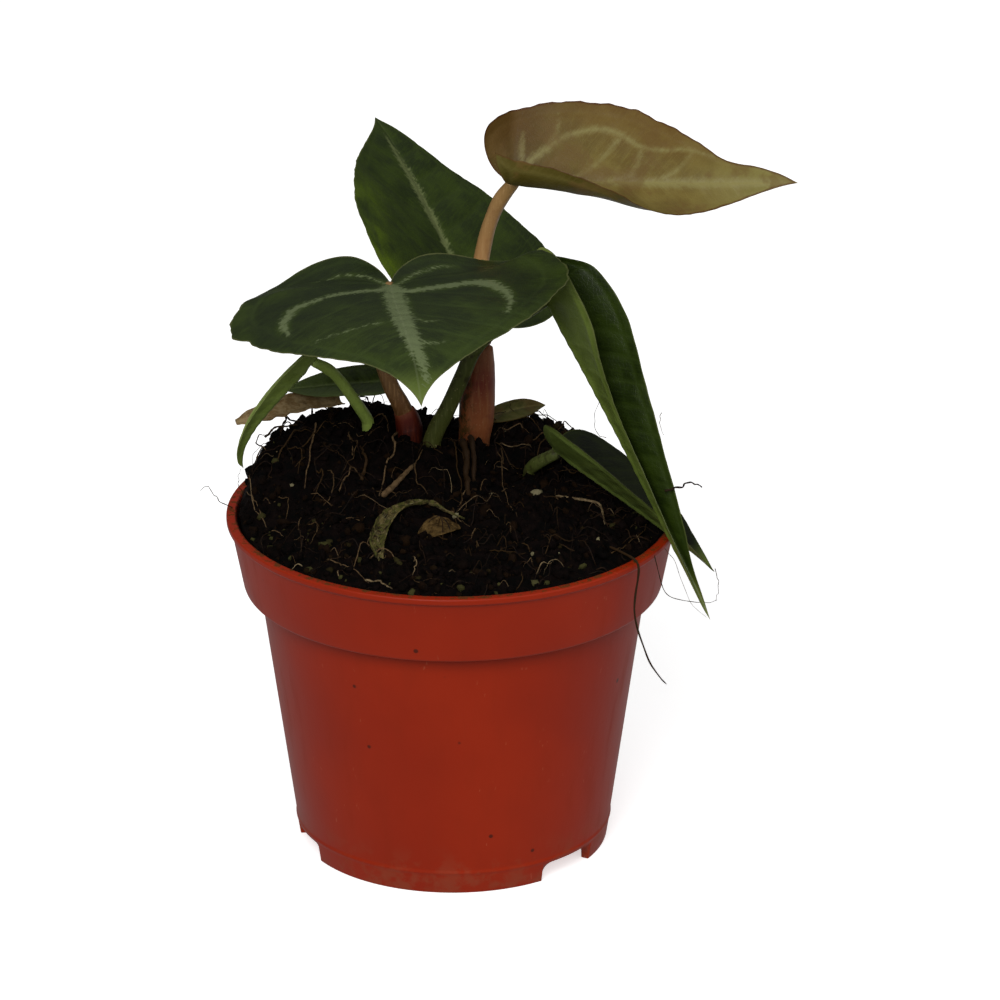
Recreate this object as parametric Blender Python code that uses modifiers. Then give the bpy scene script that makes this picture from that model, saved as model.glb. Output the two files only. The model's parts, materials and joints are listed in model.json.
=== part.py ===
# Potted anthurium: a 12 cm plastic nursery pot, its mound of soil, and seven leaves on their stalks,
# with the dead leaves, twig and roots that lie on the soil.
# Metres, +Z up. The pot's axis is the working origin while modelling; the whole part hangs from one
# empty that puts the origin at the middle of the underside of the part's box.
import math

import bpy
import bmesh
import numpy as np
from mathutils import Vector
from mathutils.bvhtree import BVHTree

# Pot
POT_HEIGHT = 0.0924
RIM_RADIUS = 0.0600
LIP_HEIGHT = 0.0016
BAND_TOP_RADIUS = 0.0589
BAND_FOOT_RADIUS = 0.0555
BAND_HEIGHT = 0.0196
BODY_TOP_RADIUS = 0.0514
BODY_FOOT_RADIUS = 0.0412
POT_WALL = 0.0016
FLOOR_LEVEL = 0.0058
FLOOR_THICKNESS = 0.0018
RING_HEIGHT = 0.0062
POT_SIDES = 60
NOTCH_HEIGHT = 0.0048
NOTCH_ANGLES = (-42, 78, 198)
NOTCH_WIDTH = 0.0190
DRAIN_HOLE_RADIUS = 0.0035
DRAIN_HOLE_RING = 0.0220
DRAIN_HOLES = 6

# Soil: a dome over the rim level, with hummocks (x, y, height, spread)
SOIL_EDGE_LEVEL = 0.0906
SOIL_DOME = 0.0070
HUMMOCKS = (
    (-0.028, 0.028, 0.0130, 0.018),
    (0.020, 0.030, 0.0085, 0.016),
    (-0.052, 0.012, 0.0075, 0.014),
    (-0.010, 0.012, 0.0045, 0.012),
    (0.014, 0.027, 0.0020, 0.009),
    (0.032, -0.008, 0.0025, 0.012),
    (0.020, 0.009, -0.0028, 0.007),
    (-0.022, -0.020, 0.0020, 0.012),
)
SOIL_SHOULDER = 0.0050
SOIL_RINGS = 17
SOIL_SECTORS = 50
STEM_DEPTH = 0.012

# What touches keeps this gap, and a blade is this thick
GAP = 0.0003
BLADE_THICKNESS = 0.0007

# Blades. at is where the stalk joins, heading is measured from +X, pitch above level.
# fold lifts each half about the rib, curl bends it further towards its margin, and droop lowers the
# tip. A left half is on the left seen from above with the tip ahead.
LEAF_DEFAULTS = dict(
    roll=0.0, bend=0.0, droop=0.0, droop_power=1.0, twist=0.0, widest=0.15, lobe_middle=0.45,
    fullness=1.6, drip=0.0, fold_left=0.0, fold_right=0.0, fold_tip=0.0, curl_left=0.0,
    curl_right=0.0, curl_tip=0.0, lobe_lift=0.0, lobe_fold=0.0, ripple=0.0, waves=2.0,
    rows=22, columns=4,
)
LEAVES = {
    "front": dict(
        at=(-0.0161, 0.0010, 0.1560), heading=-85.9, pitch=5.1, roll=2.4, bend=7.3, droop=63.9,
        droop_power=4, twist=0.5, length=0.0692, left=0.0454, right=0.0432, lobe=0.0164,
        widest=0.28, lobe_middle=0.3, fullness=1.37, drip=0.75, fold_left=1, fold_right=7.3,
        fold_tip=-12.7, curl_left=14.9, curl_right=-23.6, lobe_lift=41.2, lobe_fold=-10.9, rows=28,
        columns=5,
    ),
    "back": dict(
        at=(0.0032, 0.0370, 0.1394), heading=114.9, pitch=42.7, roll=11.4, bend=6.1, droop=18.9,
        twist=-1.1, length=0.0625, left=0.0399, right=0.0377, lobe=0.0107, widest=0.15,
        lobe_middle=0.39, fullness=1.82, drip=0.52, fold_left=22.6, fold_right=-3.8, fold_tip=-7.8,
        curl_left=7.6, curl_right=-8.1, lobe_lift=-8.6, rows=24, columns=4,
    ),
    "newest": dict(
        at=(0.0165, 0.0140, 0.1803), heading=1.9, pitch=-2.5, roll=1.7, bend=2.1, droop=-2, twist=39.5,
        length=0.0744, left=0.0232, right=0.0176, lobe=0.0087, widest=0.36, lobe_middle=0.50,
        fullness=1.0, drip=0.55, fold_left=46, fold_right=-6, fold_tip=-34.5, curl_left=18.7,
        curl_right=108, curl_tip=-61, lobe_fold=29, rows=28, columns=6,
    ),
    "right": dict(
        at=(0.0249, 0.0072, 0.1496), heading=-46, pitch=-46.3, roll=-3.3, bend=-1.2, droop=6.3,
        twist=27.4, length=0.0952, left=0.0187, right=0.0204, lobe=0.0163, widest=0.17,
        lobe_middle=0.3, fullness=1, drip=0.01, fold_left=64.6, fold_right=67.5, fold_tip=-1.3,
        curl_left=0.8, curl_right=7.1, lobe_lift=42.5, lobe_fold=12.5, rows=24, columns=3,
    ),
    "low_right": dict(
        at=(0.0280, 0.0032, 0.1079), heading=-35.1, pitch=-21.5, roll=-8, bend=4.6, droop=15.5,
        droop_power=3, twist=5, length=0.0540, left=0.0140, right=0.0187, lobe=0.0035, widest=0.05,
        fullness=1.8, fold_left=16, fold_right=36.1, fold_tip=0.7, curl_left=-2.4, curl_right=9.1,
        lobe_fold=2.5, rows=18, columns=3,
    ),
    "left": dict(
        at=(-0.0370, 0.0013, 0.1345), heading=198, pitch=-43.6, roll=7.9, bend=-8.3, droop=58,
        droop_power=3.5, twist=-7.9, length=0.0357, left=0.0103, right=0.0084, lobe=0.0041, widest=0.22,
        fullness=1.0, fold_left=50, fold_right=32, fold_tip=-11.9, rows=16, columns=3,
    ),
    "low_left": dict(
        at=(-0.0183, 0.0230, 0.1203), heading=181.8, pitch=-1.6, roll=-7.8, bend=-8.2, droop=9,
        twist=-10.3, length=0.0274, left=0.0091, right=0.0056, lobe=0.0037, widest=0.11, fullness=2.0,
        fold_left=5.4, fold_right=25, rows=14, columns=3,
    ),
    "old": dict(
        at=(0.0110, 0.0273, 0.1090), heading=12, pitch=16, roll=13.3, droop=17, length=0.0142,
        left=0.0035, right=0.0050, lobe=0.0020, widest=0.30, fullness=2.4, fold_left=8.6,
        fold_right=3.9, rows=10, columns=2,
    ),
}

# Stalks: points from the soil up to just under the blade, and the radius at the foot and the top
STALKS = {
    "newest": dict(
        foot=None, foot_radius=0.0024, top_radius=0.0018,
        route=((0.0077, 0.0142, 0.1347), (0.0077, 0.0144, 0.1372), (0.0074, 0.0158, 0.1410),
               (0.0070, 0.0176, 0.1468),
               (0.0072, 0.0187, 0.1533), (0.0083, 0.0190, 0.1602), (0.0099, 0.0183, 0.1669),
               (0.0125, 0.0165, 0.1738)),
    ),
    "front": dict(
        foot=None, foot_radius=0.0019, top_radius=0.0014,
        route=((-0.0125, 0.0135, 0.1142), (-0.0140, 0.0130, 0.1180), (-0.0161, 0.0130, 0.1221),
               (-0.0182, 0.0135, 0.1278), (-0.0198, 0.0140, 0.1332), (-0.0205, 0.0142, 0.1385),
               (-0.0204, 0.0130, 0.1432), (-0.0196, 0.0105, 0.1476), (-0.0182, 0.0068, 0.1516)),
    ),
    "back": dict(
        foot=(0.0042, 0.0236), foot_radius=0.0019, top_radius=0.0014,
        route=((0.0042, 0.0241, 0.1110), (0.0040, 0.0262, 0.1190), (0.0036, 0.0300, 0.1290)),
    ),
    "right": dict(
        foot=(-0.0055, 0.0085), foot_radius=0.0022, top_radius=0.0016,
        route=((-0.0053, 0.0085, 0.1095), (-0.0038, 0.0080, 0.1135), (-0.0010, 0.0070, 0.1194),
               (0.0025, 0.0055, 0.1284), (0.0059, 0.0045, 0.1366), (0.0112, 0.0040, 0.1425),
               (0.0178, 0.0046, 0.1462)),
    ),
    "low_right": dict(
        foot=(0.0202, 0.0092), foot_radius=0.0018, top_radius=0.0015,
        route=((0.0216, 0.0083, 0.1020),),
    ),
    "left": dict(
        foot=(-0.0225, 0.0150), foot_radius=0.0019, top_radius=0.0016,
        route=((-0.0229, 0.0146, 0.1128), (-0.0246, 0.0127, 0.1165), (-0.0272, 0.0105, 0.1215),
               (-0.0303, 0.0080, 0.1270), (-0.0330, 0.0052, 0.1308)),
    ),
    "low_left": dict(
        foot=(-0.0132, 0.0225), foot_radius=0.0013, top_radius=0.0010,
        route=((-0.0135, 0.0227, 0.1125), (-0.0147, 0.0230, 0.1165)),
    ),
}
STALK_SIDES = 8

# Main stem and the left crown: sheaths turned round a leaning line, from below the soil upwards
MAIN_STEM = dict(
    foot=(0.0056, 0.0150),
    route=((0.0062, 0.0150, 0.1120), (0.0066, 0.0149, 0.1200), (0.0072, 0.0145, 0.1268),
           (0.0077, 0.0142, 0.1341)),
    radii=(0.0042, 0.0042, 0.0042, 0.0042, 0.0046, 0.0046, 0.0043, 0.0038, 0.0029),
)
LEFT_CROWN = dict(
    foot=(-0.0115, 0.0136),
    route=((-0.0118, 0.0136, 0.1116), (-0.0124, 0.0135, 0.1137)),
    radii=(0.0034, 0.0034, 0.0034, 0.0034, 0.0034, 0.0030, 0.0023),
)

# Dead leaves: a bowed strip along a route, with its half width and how much it is cupped
WITHERED_ROUTE = (
    (-0.0300, 0.0280, 0.1136), (-0.0330, 0.0265, 0.1140), (-0.0380, 0.0243, 0.1140),
    (-0.0430, 0.0215, 0.1137), (-0.0490, 0.0175, 0.1132), (-0.0540, 0.0140, 0.1127),
    (-0.0572, 0.0125, 0.1126),
)
WITHERED_WIDTHS = (0.0020, 0.0028, 0.0033, 0.0032, 0.0026, 0.0020, 0.0006)
CURLED_ROUTE = (
    (-0.0206, -0.0320, 0.0930), (-0.0198, -0.0275, 0.0950), (-0.0185, -0.0235, 0.0968),
    (-0.0166, -0.0198, 0.0990), (-0.0138, -0.0165, 0.1003), (-0.0098, -0.0142, 0.1005),
    (-0.0056, -0.0138, 0.0990), (-0.0020, -0.0150, 0.0970),
)
CURLED_WIDTHS = (0.0020, 0.0030, 0.0034, 0.0032, 0.0027, 0.0022, 0.0015, 0.0006)
SCRAP_ROUTE = (
    (-0.0090, -0.0250, 0.0960), (-0.0065, -0.0235, 0.0966), (-0.0035, -0.0222, 0.0966),
    (-0.0008, -0.0212, 0.0960), (0.0014, -0.0205, 0.0955),
)
SCRAP_WIDTHS = (0.0012, 0.0034, 0.0040, 0.0032, 0.0008)

# Round litter: route and radius
TWIG = dict(
    route=((-0.0205, -0.0085, 0.1010), (-0.0170, -0.0066, 0.1022), (-0.0135, -0.0045, 0.1035),
           (-0.0105, -0.0020, 0.1052), (-0.0082, 0.0000, 0.1065)),
    radius=0.0011,
)
BENT_ROOT = dict(
    route=((0.0270, -0.0075, 0.1010), (0.0310, -0.0086, 0.1010), (0.0350, -0.0096, 0.1006),
           (0.0382, -0.0110, 0.1000), (0.0392, -0.0140, 0.0990), (0.0396, -0.0180, 0.0975)),
    radius=0.0007,
)
RIM_ROOT = dict(
    route=((0.0405, -0.0285, 0.0944), (0.0440, -0.0325, 0.0943), (0.0466, -0.0356, 0.0941),
           (0.0481, -0.0372, 0.0934), (0.0486, -0.0377, 0.0916), (0.0484, -0.0375, 0.0885),
           (0.0478, -0.0373, 0.0840), (0.0476, -0.0372, 0.0793), (0.0484, -0.0370, 0.0745),
           (0.0500, -0.0366, 0.0693), (0.0518, -0.0362, 0.0643)),
    radius=0.0006,
)

COLORS = {
    "terracotta_plastic": ((0.26, 0.028, 0.010), 0.45),
    "dark_soil": ((0.012, 0.008, 0.006), 0.95),
    "red_sheath": ((0.13, 0.035, 0.022), 0.55),
    "dark_leaf": ((0.030, 0.060, 0.016), 0.55),
    "bronze_leaf": ((0.14, 0.09, 0.025), 0.40),
    "green_leaf": ((0.045, 0.085, 0.022), 0.50),
    "orange_stalk": ((0.24, 0.11, 0.045), 0.50),
    "green_stalk": ((0.10, 0.16, 0.035), 0.50),
    "dead_leaf": ((0.17, 0.13, 0.07), 0.85),
    "mossy_leaf": ((0.20, 0.19, 0.08), 0.90),
    "root": ((0.14, 0.075, 0.04), 0.85),
    "twig": ((0.09, 0.06, 0.04), 0.90),
}


def material(name):
    """A plain Principled material of the named finish, made once."""
    if name in bpy.data.materials:
        return bpy.data.materials[name]
    color, roughness = COLORS[name]
    made = bpy.data.materials.new(name)
    made.use_nodes = True
    shader = made.node_tree.nodes["Principled BSDF"]
    shader.inputs["Base Color"].default_value = (*color, 1.0)
    shader.inputs["Roughness"].default_value = roughness
    shader.inputs["Metallic"].default_value = 0.0
    made.diffuse_color = (*color, 1.0)
    return made


def clear_scene():
    """Removes what the file opened with."""
    for obj in list(bpy.data.objects):
        bpy.data.objects.remove(obj, do_unlink=True)


def new_collection(name):
    made = bpy.data.collections.new(name)
    bpy.context.scene.collection.children.link(made)
    return made


def add_mesh(name, mesh, finish, collection):
    """An object of this mesh, smooth shaded, with its own material."""
    obj = bpy.data.objects.new(name, mesh)
    collection.objects.link(obj)
    mesh.materials.append(material(finish))
    mesh.shade_smooth()
    mesh.set_sharp_from_angle(angle=math.radians(50))
    return obj


def add_cutter(name, mesh, collection):
    obj = bpy.data.objects.new(name, mesh)
    collection.objects.link(obj)
    obj.hide_render = True
    obj.display_type = "WIRE"
    return obj


def baked(obj):
    """The object's evaluated mesh, with its modifiers applied, in place."""
    graph = bpy.context.evaluated_depsgraph_get()
    mesh = bpy.data.meshes.new_from_object(obj.evaluated_get(graph))
    mesh.transform(obj.matrix_world)
    return mesh


def cylinder_mesh(name, radius, bottom, top, sides, at=(0.0, 0.0)):
    """A closed upright cylinder between two heights."""
    mesh = bpy.data.meshes.new(name)
    bm = bmesh.new()
    bmesh.ops.create_cone(
        bm, cap_ends=True, segments=sides, radius1=radius, radius2=radius, depth=top - bottom
    )
    bmesh.ops.translate(bm, verts=bm.verts, vec=(at[0], at[1], (top + bottom) / 2))
    bm.to_mesh(mesh)
    bm.free()
    return mesh


def cut(obj, cutters, solver="EXACT"):
    """Cuts every object of a collection out of this one and applies it."""
    boolean = obj.modifiers.new("cut", "BOOLEAN")
    boolean.operation = "DIFFERENCE"
    boolean.operand_type = "COLLECTION"
    boolean.collection = cutters
    boolean.solver = solver
    mesh = baked(obj)
    obj.modifiers.clear()
    obj.data = mesh
    mesh.shade_smooth()
    mesh.set_sharp_from_angle(angle=math.radians(50))
    for cutter in list(cutters.objects):
        bpy.data.objects.remove(cutter, do_unlink=True)


def curve_points(points, steps):
    """A smooth Catmull-Rom line through the points, with steps pieces between neighbours."""
    points = np.array(points, float)
    padded = np.concatenate([[2 * points[0] - points[1]], points, [2 * points[-1] - points[-2]]])
    out = []
    for i in range(1, len(padded) - 2):
        before, start, end, after = padded[i - 1:i + 3]
        t = np.linspace(0, 1, steps + 1)[:-1, None]
        out.append(
            0.5 * ((2 * start) + (end - before) * t + (2 * before - 5 * start + 4 * end - after) * t**2
                   + (3 * start - before - 3 * end + after) * t**3)
        )
    return np.concatenate(out + [points[-1:]])


def tube(name, points, radii, finish, collection, sides=STALK_SIDES):
    """A round tube of changing radius: a POLY curve with a bevel and filled caps, made a mesh."""
    curve = bpy.data.curves.new(name, "CURVE")
    curve.dimensions = "3D"
    curve.bevel_depth = 1.0
    curve.bevel_resolution = max(sides // 2 - 2, 0)
    curve.use_fill_caps = True
    spline = curve.splines.new("POLY")
    spline.points.add(len(points) - 1)
    for point, place, radius in zip(spline.points, points, radii):
        point.co = (*place, 1.0)
        point.radius = radius
    holder = bpy.data.objects.new(name + "_curve", curve)
    collection.objects.link(holder)
    bpy.context.view_layer.update()
    mesh = baked(holder)
    bpy.data.objects.remove(holder, do_unlink=True)
    bm = bmesh.new()
    bm.from_mesh(mesh)
    bmesh.ops.remove_doubles(bm, verts=bm.verts, dist=0.000005)
    bm.to_mesh(mesh)
    bm.free()
    mesh.materials.clear()
    return add_mesh(name, mesh, finish, collection)


def inner_radius(level):
    """The pot's inner wall radius at a height: the band's above the inside shelf, the body's below."""
    band_foot = POT_HEIGHT - BAND_HEIGHT
    if level > band_foot + POT_WALL:
        share = (level - band_foot) / BAND_HEIGHT
        outer = BAND_FOOT_RADIUS + (BAND_TOP_RADIUS - BAND_FOOT_RADIUS) * share
    else:
        share = min(level / band_foot, 1.0)
        outer = BODY_FOOT_RADIUS + (BODY_TOP_RADIUS - BODY_FOOT_RADIUS) * share
    return outer - POT_WALL


def pot_profile():
    """Radius and height round the pot's wall: down its outer side, under the foot and up inside."""
    band_foot = POT_HEIGHT - BAND_HEIGHT
    shelf = band_foot + POT_WALL
    ring_radius = BODY_FOOT_RADIUS + (BODY_TOP_RADIUS - BODY_FOOT_RADIUS) * RING_HEIGHT / band_foot
    return [
        (RIM_RADIUS - 0.0002, POT_HEIGHT),
        (RIM_RADIUS, POT_HEIGHT - 0.0004),
        (RIM_RADIUS, POT_HEIGHT - LIP_HEIGHT),
        (BAND_TOP_RADIUS, POT_HEIGHT - LIP_HEIGHT - 0.0008),
        (BAND_FOOT_RADIUS, band_foot + 0.0006),
        (BAND_FOOT_RADIUS - 0.0006, band_foot),
        (BODY_TOP_RADIUS, band_foot),
        (ring_radius + 0.0001, RING_HEIGHT + 0.0008),
        (ring_radius + 0.0005, RING_HEIGHT),
        (ring_radius, RING_HEIGHT - 0.0008),
        (BODY_FOOT_RADIUS, 0.0),
        (BODY_FOOT_RADIUS - 0.0022, 0.0),
        (BODY_FOOT_RADIUS - 0.0022, FLOOR_LEVEL - FLOOR_THICKNESS),
        (0.0, FLOOR_LEVEL - FLOOR_THICKNESS),
        (0.0, FLOOR_LEVEL),
        (inner_radius(FLOOR_LEVEL), FLOOR_LEVEL),
        (inner_radius(shelf), shelf),
        (inner_radius(shelf + 0.0006), shelf + 0.0006),
        (inner_radius(POT_HEIGHT), POT_HEIGHT),
    ]


def pot(parts):
    """The pot: its profile turned, with drainage holes in the floor and notches in the foot."""
    profile = pot_profile()
    mesh = bpy.data.meshes.new("pot")
    bm = bmesh.new()
    ring = [bm.verts.new((radius, 0.0, height)) for radius, height in profile]
    for i, start in enumerate(ring):
        end = ring[(i + 1) % len(ring)]
        if start.co.x > 0 or end.co.x > 0:
            bm.edges.new((start, end))
    bm.to_mesh(mesh)
    bm.free()
    obj = add_mesh("pot", mesh, "terracotta_plastic", parts)
    screw = obj.modifiers.new("turn", "SCREW")
    screw.steps = POT_SIDES
    screw.render_steps = POT_SIDES
    screw.use_merge_vertices = True
    screw.merge_threshold = 0.00001
    bpy.context.view_layer.update()
    turned = baked(obj)
    obj.modifiers.clear()
    obj.data = turned
    cutters = new_collection("pot_cutters")
    for angle in NOTCH_ANGLES:
        add_cutter(f"notch_{angle}", notch_mesh(angle), cutters)
    for i in range(DRAIN_HOLES):
        turn = 2 * math.pi * (i + 0.5) / DRAIN_HOLES
        place = (DRAIN_HOLE_RING * math.cos(turn), DRAIN_HOLE_RING * math.sin(turn))
        hole = cylinder_mesh("drain", DRAIN_HOLE_RADIUS, -0.001, FLOOR_LEVEL + 0.001, 10, place)
        add_cutter(f"drain_{i}", hole, cutters)
    cut(obj, cutters)
    return obj


def notch_mesh(angle):
    """A block through the foot skirt with rounded upper corners, turned to its angle."""
    mesh = bpy.data.meshes.new("notch")
    bm = bmesh.new()
    bmesh.ops.create_cube(bm, size=1.0)
    reach = 0.012
    bmesh.ops.scale(bm, verts=bm.verts, vec=(reach, NOTCH_WIDTH, 2 * NOTCH_HEIGHT))
    upper = [
        edge for edge in bm.edges
        if all(v.co.z > 0 for v in edge.verts) and abs(edge.verts[0].co.y - edge.verts[1].co.y) < 1e-6
    ]
    bmesh.ops.bevel(bm, geom=upper, offset=0.0022, segments=3, profile=0.5, affect="EDGES")
    mesh_center = BODY_FOOT_RADIUS
    bmesh.ops.translate(bm, verts=bm.verts, vec=(mesh_center, 0.0, 0.0))
    turn = math.radians(angle)
    for vert in bm.verts:
        x, y = vert.co.x, vert.co.y
        vert.co.x = x * math.cos(turn) - y * math.sin(turn)
        vert.co.y = x * math.sin(turn) + y * math.cos(turn)
    bm.to_mesh(mesh)
    bm.free()
    return mesh


def mound_level(x, y):
    """Height of the mound: edge level, plus a dome, plus Gaussian hummocks and small waves."""
    radius = np.hypot(x, y) / inner_radius(POT_HEIGHT)
    level = SOIL_EDGE_LEVEL + SOIL_DOME * (1 - np.clip(radius, 0, 1)**3)
    for hx, hy, height, spread in HUMMOCKS:
        level = level + height * np.exp(-((x - hx)**2 + (y - hy)**2) / (2 * spread**2))
    fade = np.clip(1.25 - radius, 0, 1)
    waves = (np.sin(x * 620 + 1.3) * np.sin(y * 540 + 0.4) + 0.7 * np.sin(x * 1100 + y * 900)
             + 0.5 * np.sin(x * 400 - y * 1300 + 2.0))
    return level + 0.0006 * fade * waves


def stem_feet():
    """Every stem that stands in the soil: its name, place and foot radius."""
    feet = [
        ("main", MAIN_STEM["foot"], MAIN_STEM["radii"][0]),
        ("crown", LEFT_CROWN["foot"], LEFT_CROWN["radii"][0]),
    ]
    return feet + [(name, row["foot"], row["foot_radius"]) for name, row in STALKS.items() if row["foot"]]


def soil_level(x, y):
    """The mound, sloping down to the rim at its edge and flat round the foot of every stem."""
    level = mound_level(x, y)
    inside = np.clip((inner_radius(POT_HEIGHT) - np.hypot(x, y)) / SOIL_SHOULDER, 0, 1)
    heaped = np.maximum(level - POT_HEIGHT - 0.0006, 0)
    level = level - heaped * (1 - inside * inside * (3 - 2 * inside))
    for _, (foot_x, foot_y), radius in stem_feet():
        away = np.hypot(x - foot_x, y - foot_y) / (radius + 0.0035)
        near = np.exp(-away**4)
        level = level * (1 - near) + (mound_level(foot_x, foot_y) - 0.0006) * near
    return level


def soil(parts):
    """The soil: rings of a height field down to the pot's wall, then the wall's taper to the floor."""
    mesh = bpy.data.meshes.new("soil")
    bm = bmesh.new()
    outer = inner_radius(SOIL_EDGE_LEVEL - 0.0030) - GAP
    angles = [2 * math.pi * i / SOIL_SECTORS for i in range(SOIL_SECTORS)]
    facet = math.cos(math.pi / POT_SIDES)

    def ring(radius, height=None):
        verts = []
        for angle in angles:
            x, y = radius * math.cos(angle), radius * math.sin(angle)
            z = float(soil_level(x, y)) if height is None else height
            verts.append(bm.verts.new((x, y, z)))
        return verts

    rings = [ring(outer * facet * (i / SOIL_RINGS)**0.85) for i in range(1, SOIL_RINGS + 1)]
    shelf = POT_HEIGHT - BAND_HEIGHT + POT_WALL
    low = SOIL_EDGE_LEVEL - 0.004
    rings.append(ring((inner_radius(low) - GAP) * facet, low))
    rings.append(ring((inner_radius(shelf + 0.0006) - GAP) * facet, shelf + 0.0006 + GAP))
    rings.append(ring((inner_radius(shelf) - GAP) * facet, shelf + GAP))
    rings.append(ring((inner_radius(FLOOR_LEVEL) - GAP) * facet, FLOOR_LEVEL + GAP))
    top = bm.verts.new((0.0, 0.0, float(soil_level(0.0, 0.0))))
    bottom = bm.verts.new((0.0, 0.0, FLOOR_LEVEL + GAP))
    for i in range(SOIL_SECTORS):
        after = (i + 1) % SOIL_SECTORS
        bm.faces.new((top, rings[0][i], rings[0][after]))
        for inside, outside in zip(rings, rings[1:]):
            bm.faces.new((inside[i], outside[i], outside[after], inside[after]))
        bm.faces.new((rings[-1][i], bottom, rings[-1][after]))
    bmesh.ops.triangulate(bm, faces=bm.faces[:])
    bmesh.ops.recalc_face_normals(bm, faces=bm.faces[:])
    bm.to_mesh(mesh)
    bm.free()
    return add_mesh("soil", mesh, "dark_soil", parts)


def rib_frames(leaf, along):
    """The rib's points and its forward, left and up directions at distances along the leaf.

    The rib starts at the stalk with the leaf's heading and pitch; the pitch falls by droop times the
    share of the length to a power, and behind the stalk it changes by lobe_lift."""
    length, lobe = leaf["length"], leaf["lobe"]
    table = np.concatenate([np.linspace(-1.2 * lobe, 0, 20)[:-1], np.linspace(0, length, 60)])
    ahead = np.clip(table / length, 1e-6, 1)
    behind = np.clip(-table / lobe, 0, 1.2)
    turn = np.radians(leaf["heading"] + leaf["bend"] * ahead)
    rise = np.radians(
        leaf["pitch"] - leaf["droop"] * ahead**leaf["droop_power"] - leaf["lobe_lift"] * behind
    )
    forward = np.stack([np.cos(rise) * np.cos(turn), np.cos(rise) * np.sin(turn), np.sin(rise)], -1)
    steps = (forward[1:] + forward[:-1]) / 2 * np.diff(table)[:, None]
    points = np.concatenate([np.zeros((1, 3)), np.cumsum(steps, 0)])
    points = points - points[19] + np.array(leaf["at"])

    def read(column):
        return np.interp(along, table, column)

    place = np.stack([read(points[:, k]) for k in range(3)], -1)
    forward = np.stack([read(forward[:, k]) for k in range(3)], -1)
    forward /= np.linalg.norm(forward, axis=-1, keepdims=True)
    turn = read(turn)
    left = np.stack([-np.sin(turn), np.cos(turn), 0 * turn], -1)
    up = np.cross(forward, left)
    roll = np.radians(leaf["roll"] + leaf["twist"] * np.clip(along / length, 0, 1))[..., None]
    return place, forward, np.cos(roll) * left + np.sin(roll) * up, np.cos(roll) * up - np.sin(roll) * left


def blade_points(leaf, along, across):
    """Flat leaf coordinates (along the rib, across to the left) carried to the folded, curled blade."""
    place, _, left, up = rib_frames(leaf, along)
    ahead = np.clip(along / leaf["length"], 0, 1)
    behind = np.clip(-along / leaf["lobe"], 0, 1)
    on_left = across >= 0
    width = np.where(on_left, leaf["left"], leaf["right"])
    side = np.where(on_left, 1.0, -1.0)
    fold = np.where(on_left, leaf["fold_left"], leaf["fold_right"])
    fold = fold + leaf["fold_tip"] * ahead + leaf["lobe_fold"] * behind
    curl = np.where(on_left, leaf["curl_left"], leaf["curl_right"]) + leaf["curl_tip"] * ahead
    reach = np.abs(across)
    angle = np.radians(fold + curl * reach / (2 * width))
    wave = leaf["ripple"] * (reach / width)**2
    wave = wave * np.sin(2 * np.pi * (leaf["waves"] * along / leaf["length"] + np.where(on_left, 0, 0.35)))
    sideways = (side * reach * np.cos(angle))[..., None] * left
    return place + sideways + (reach * np.sin(angle) + wave)[..., None] * up


def half_outline(leaf, share, side):
    """The margin of one half from the notch at the stalk to the tip, with the rib point of each row.

    Two quarter ellipses go round the basal lobe; from the widest place on, the half width is
    width (1 - t^fullness)(1 - drip t^3)."""
    width = leaf["left"] if side > 0 else leaf["right"]
    length, lobe, middle = leaf["length"], leaf["lobe"], leaf["lobe_middle"]
    widest = leaf["widest"] * length
    inner_end, outer_end = 0.16, 0.36
    turn_in = np.pi * (1 - 0.5 * np.clip(share / inner_end, 0, 1))
    turn_out = 0.5 * np.pi * (1 - np.clip((share - inner_end) / (outer_end - inner_end), 0, 1))
    t = np.clip((share - outer_end) / (1 - outer_end), 0, 1)
    inner = share <= inner_end
    front = share > outer_end
    along = np.where(inner, -lobe * np.sin(turn_in), widest - (widest + lobe) * np.sin(turn_out))
    across = np.where(
        inner, middle * width * (1 + np.cos(turn_in)),
        width * (middle + (1 - middle) * np.cos(turn_out)),
    )
    along = np.where(front, widest + (length - widest) * t, along)
    across = np.where(front, width * (1 - t**leaf["fullness"]) * (1 - leaf["drip"] * t**3), across)
    return along, side * across, np.where(front, length * t**1.2, 0.0)


def blade(name, leaf, finish, parts):
    """A leaf blade: each half a grid from the rib to the margin, carried to its fold and thickened."""
    mesh = bpy.data.meshes.new(name)
    bm = bmesh.new()
    rows, columns = leaf["rows"], leaf["columns"]
    share = np.linspace(0, 1, rows + 1)
    out = np.linspace(0, 1, columns + 1)
    for side in (1, -1):
        along, across, rib = half_outline(leaf, share, side)
        flat_along = (1 - out) * rib[:, None] + out * along[:, None]
        flat_across = out * across[:, None]
        if side < 0:
            flat_across = np.minimum(flat_across, -1e-9)
        points = blade_points(leaf, flat_along, flat_across)
        grid = [[bm.verts.new(points[i, j]) for j in range(columns + 1)] for i in range(rows + 1)]
        for i in range(rows):
            for j in range(columns):
                corners = [grid[i][j], grid[i][j + 1], grid[i + 1][j + 1], grid[i + 1][j]]
                bm.faces.new(corners if side > 0 else corners[::-1])
    bmesh.ops.remove_doubles(bm, verts=bm.verts, dist=0.00002)
    bmesh.ops.dissolve_degenerate(bm, dist=0.00002, edges=bm.edges)
    bmesh.ops.triangulate(bm, faces=bm.faces[:])
    bmesh.ops.recalc_face_normals(bm, faces=bm.faces[:])
    bm.to_mesh(mesh)
    bm.free()
    obj = add_mesh(name, mesh, finish, parts)
    solidify = obj.modifiers.new("thickness", "SOLIDIFY")
    solidify.thickness = BLADE_THICKNESS
    solidify.offset = 0.0
    solidify.use_even_offset = False
    bpy.context.view_layer.update()
    obj.data = baked(obj)
    obj.modifiers.clear()
    return obj


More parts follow.
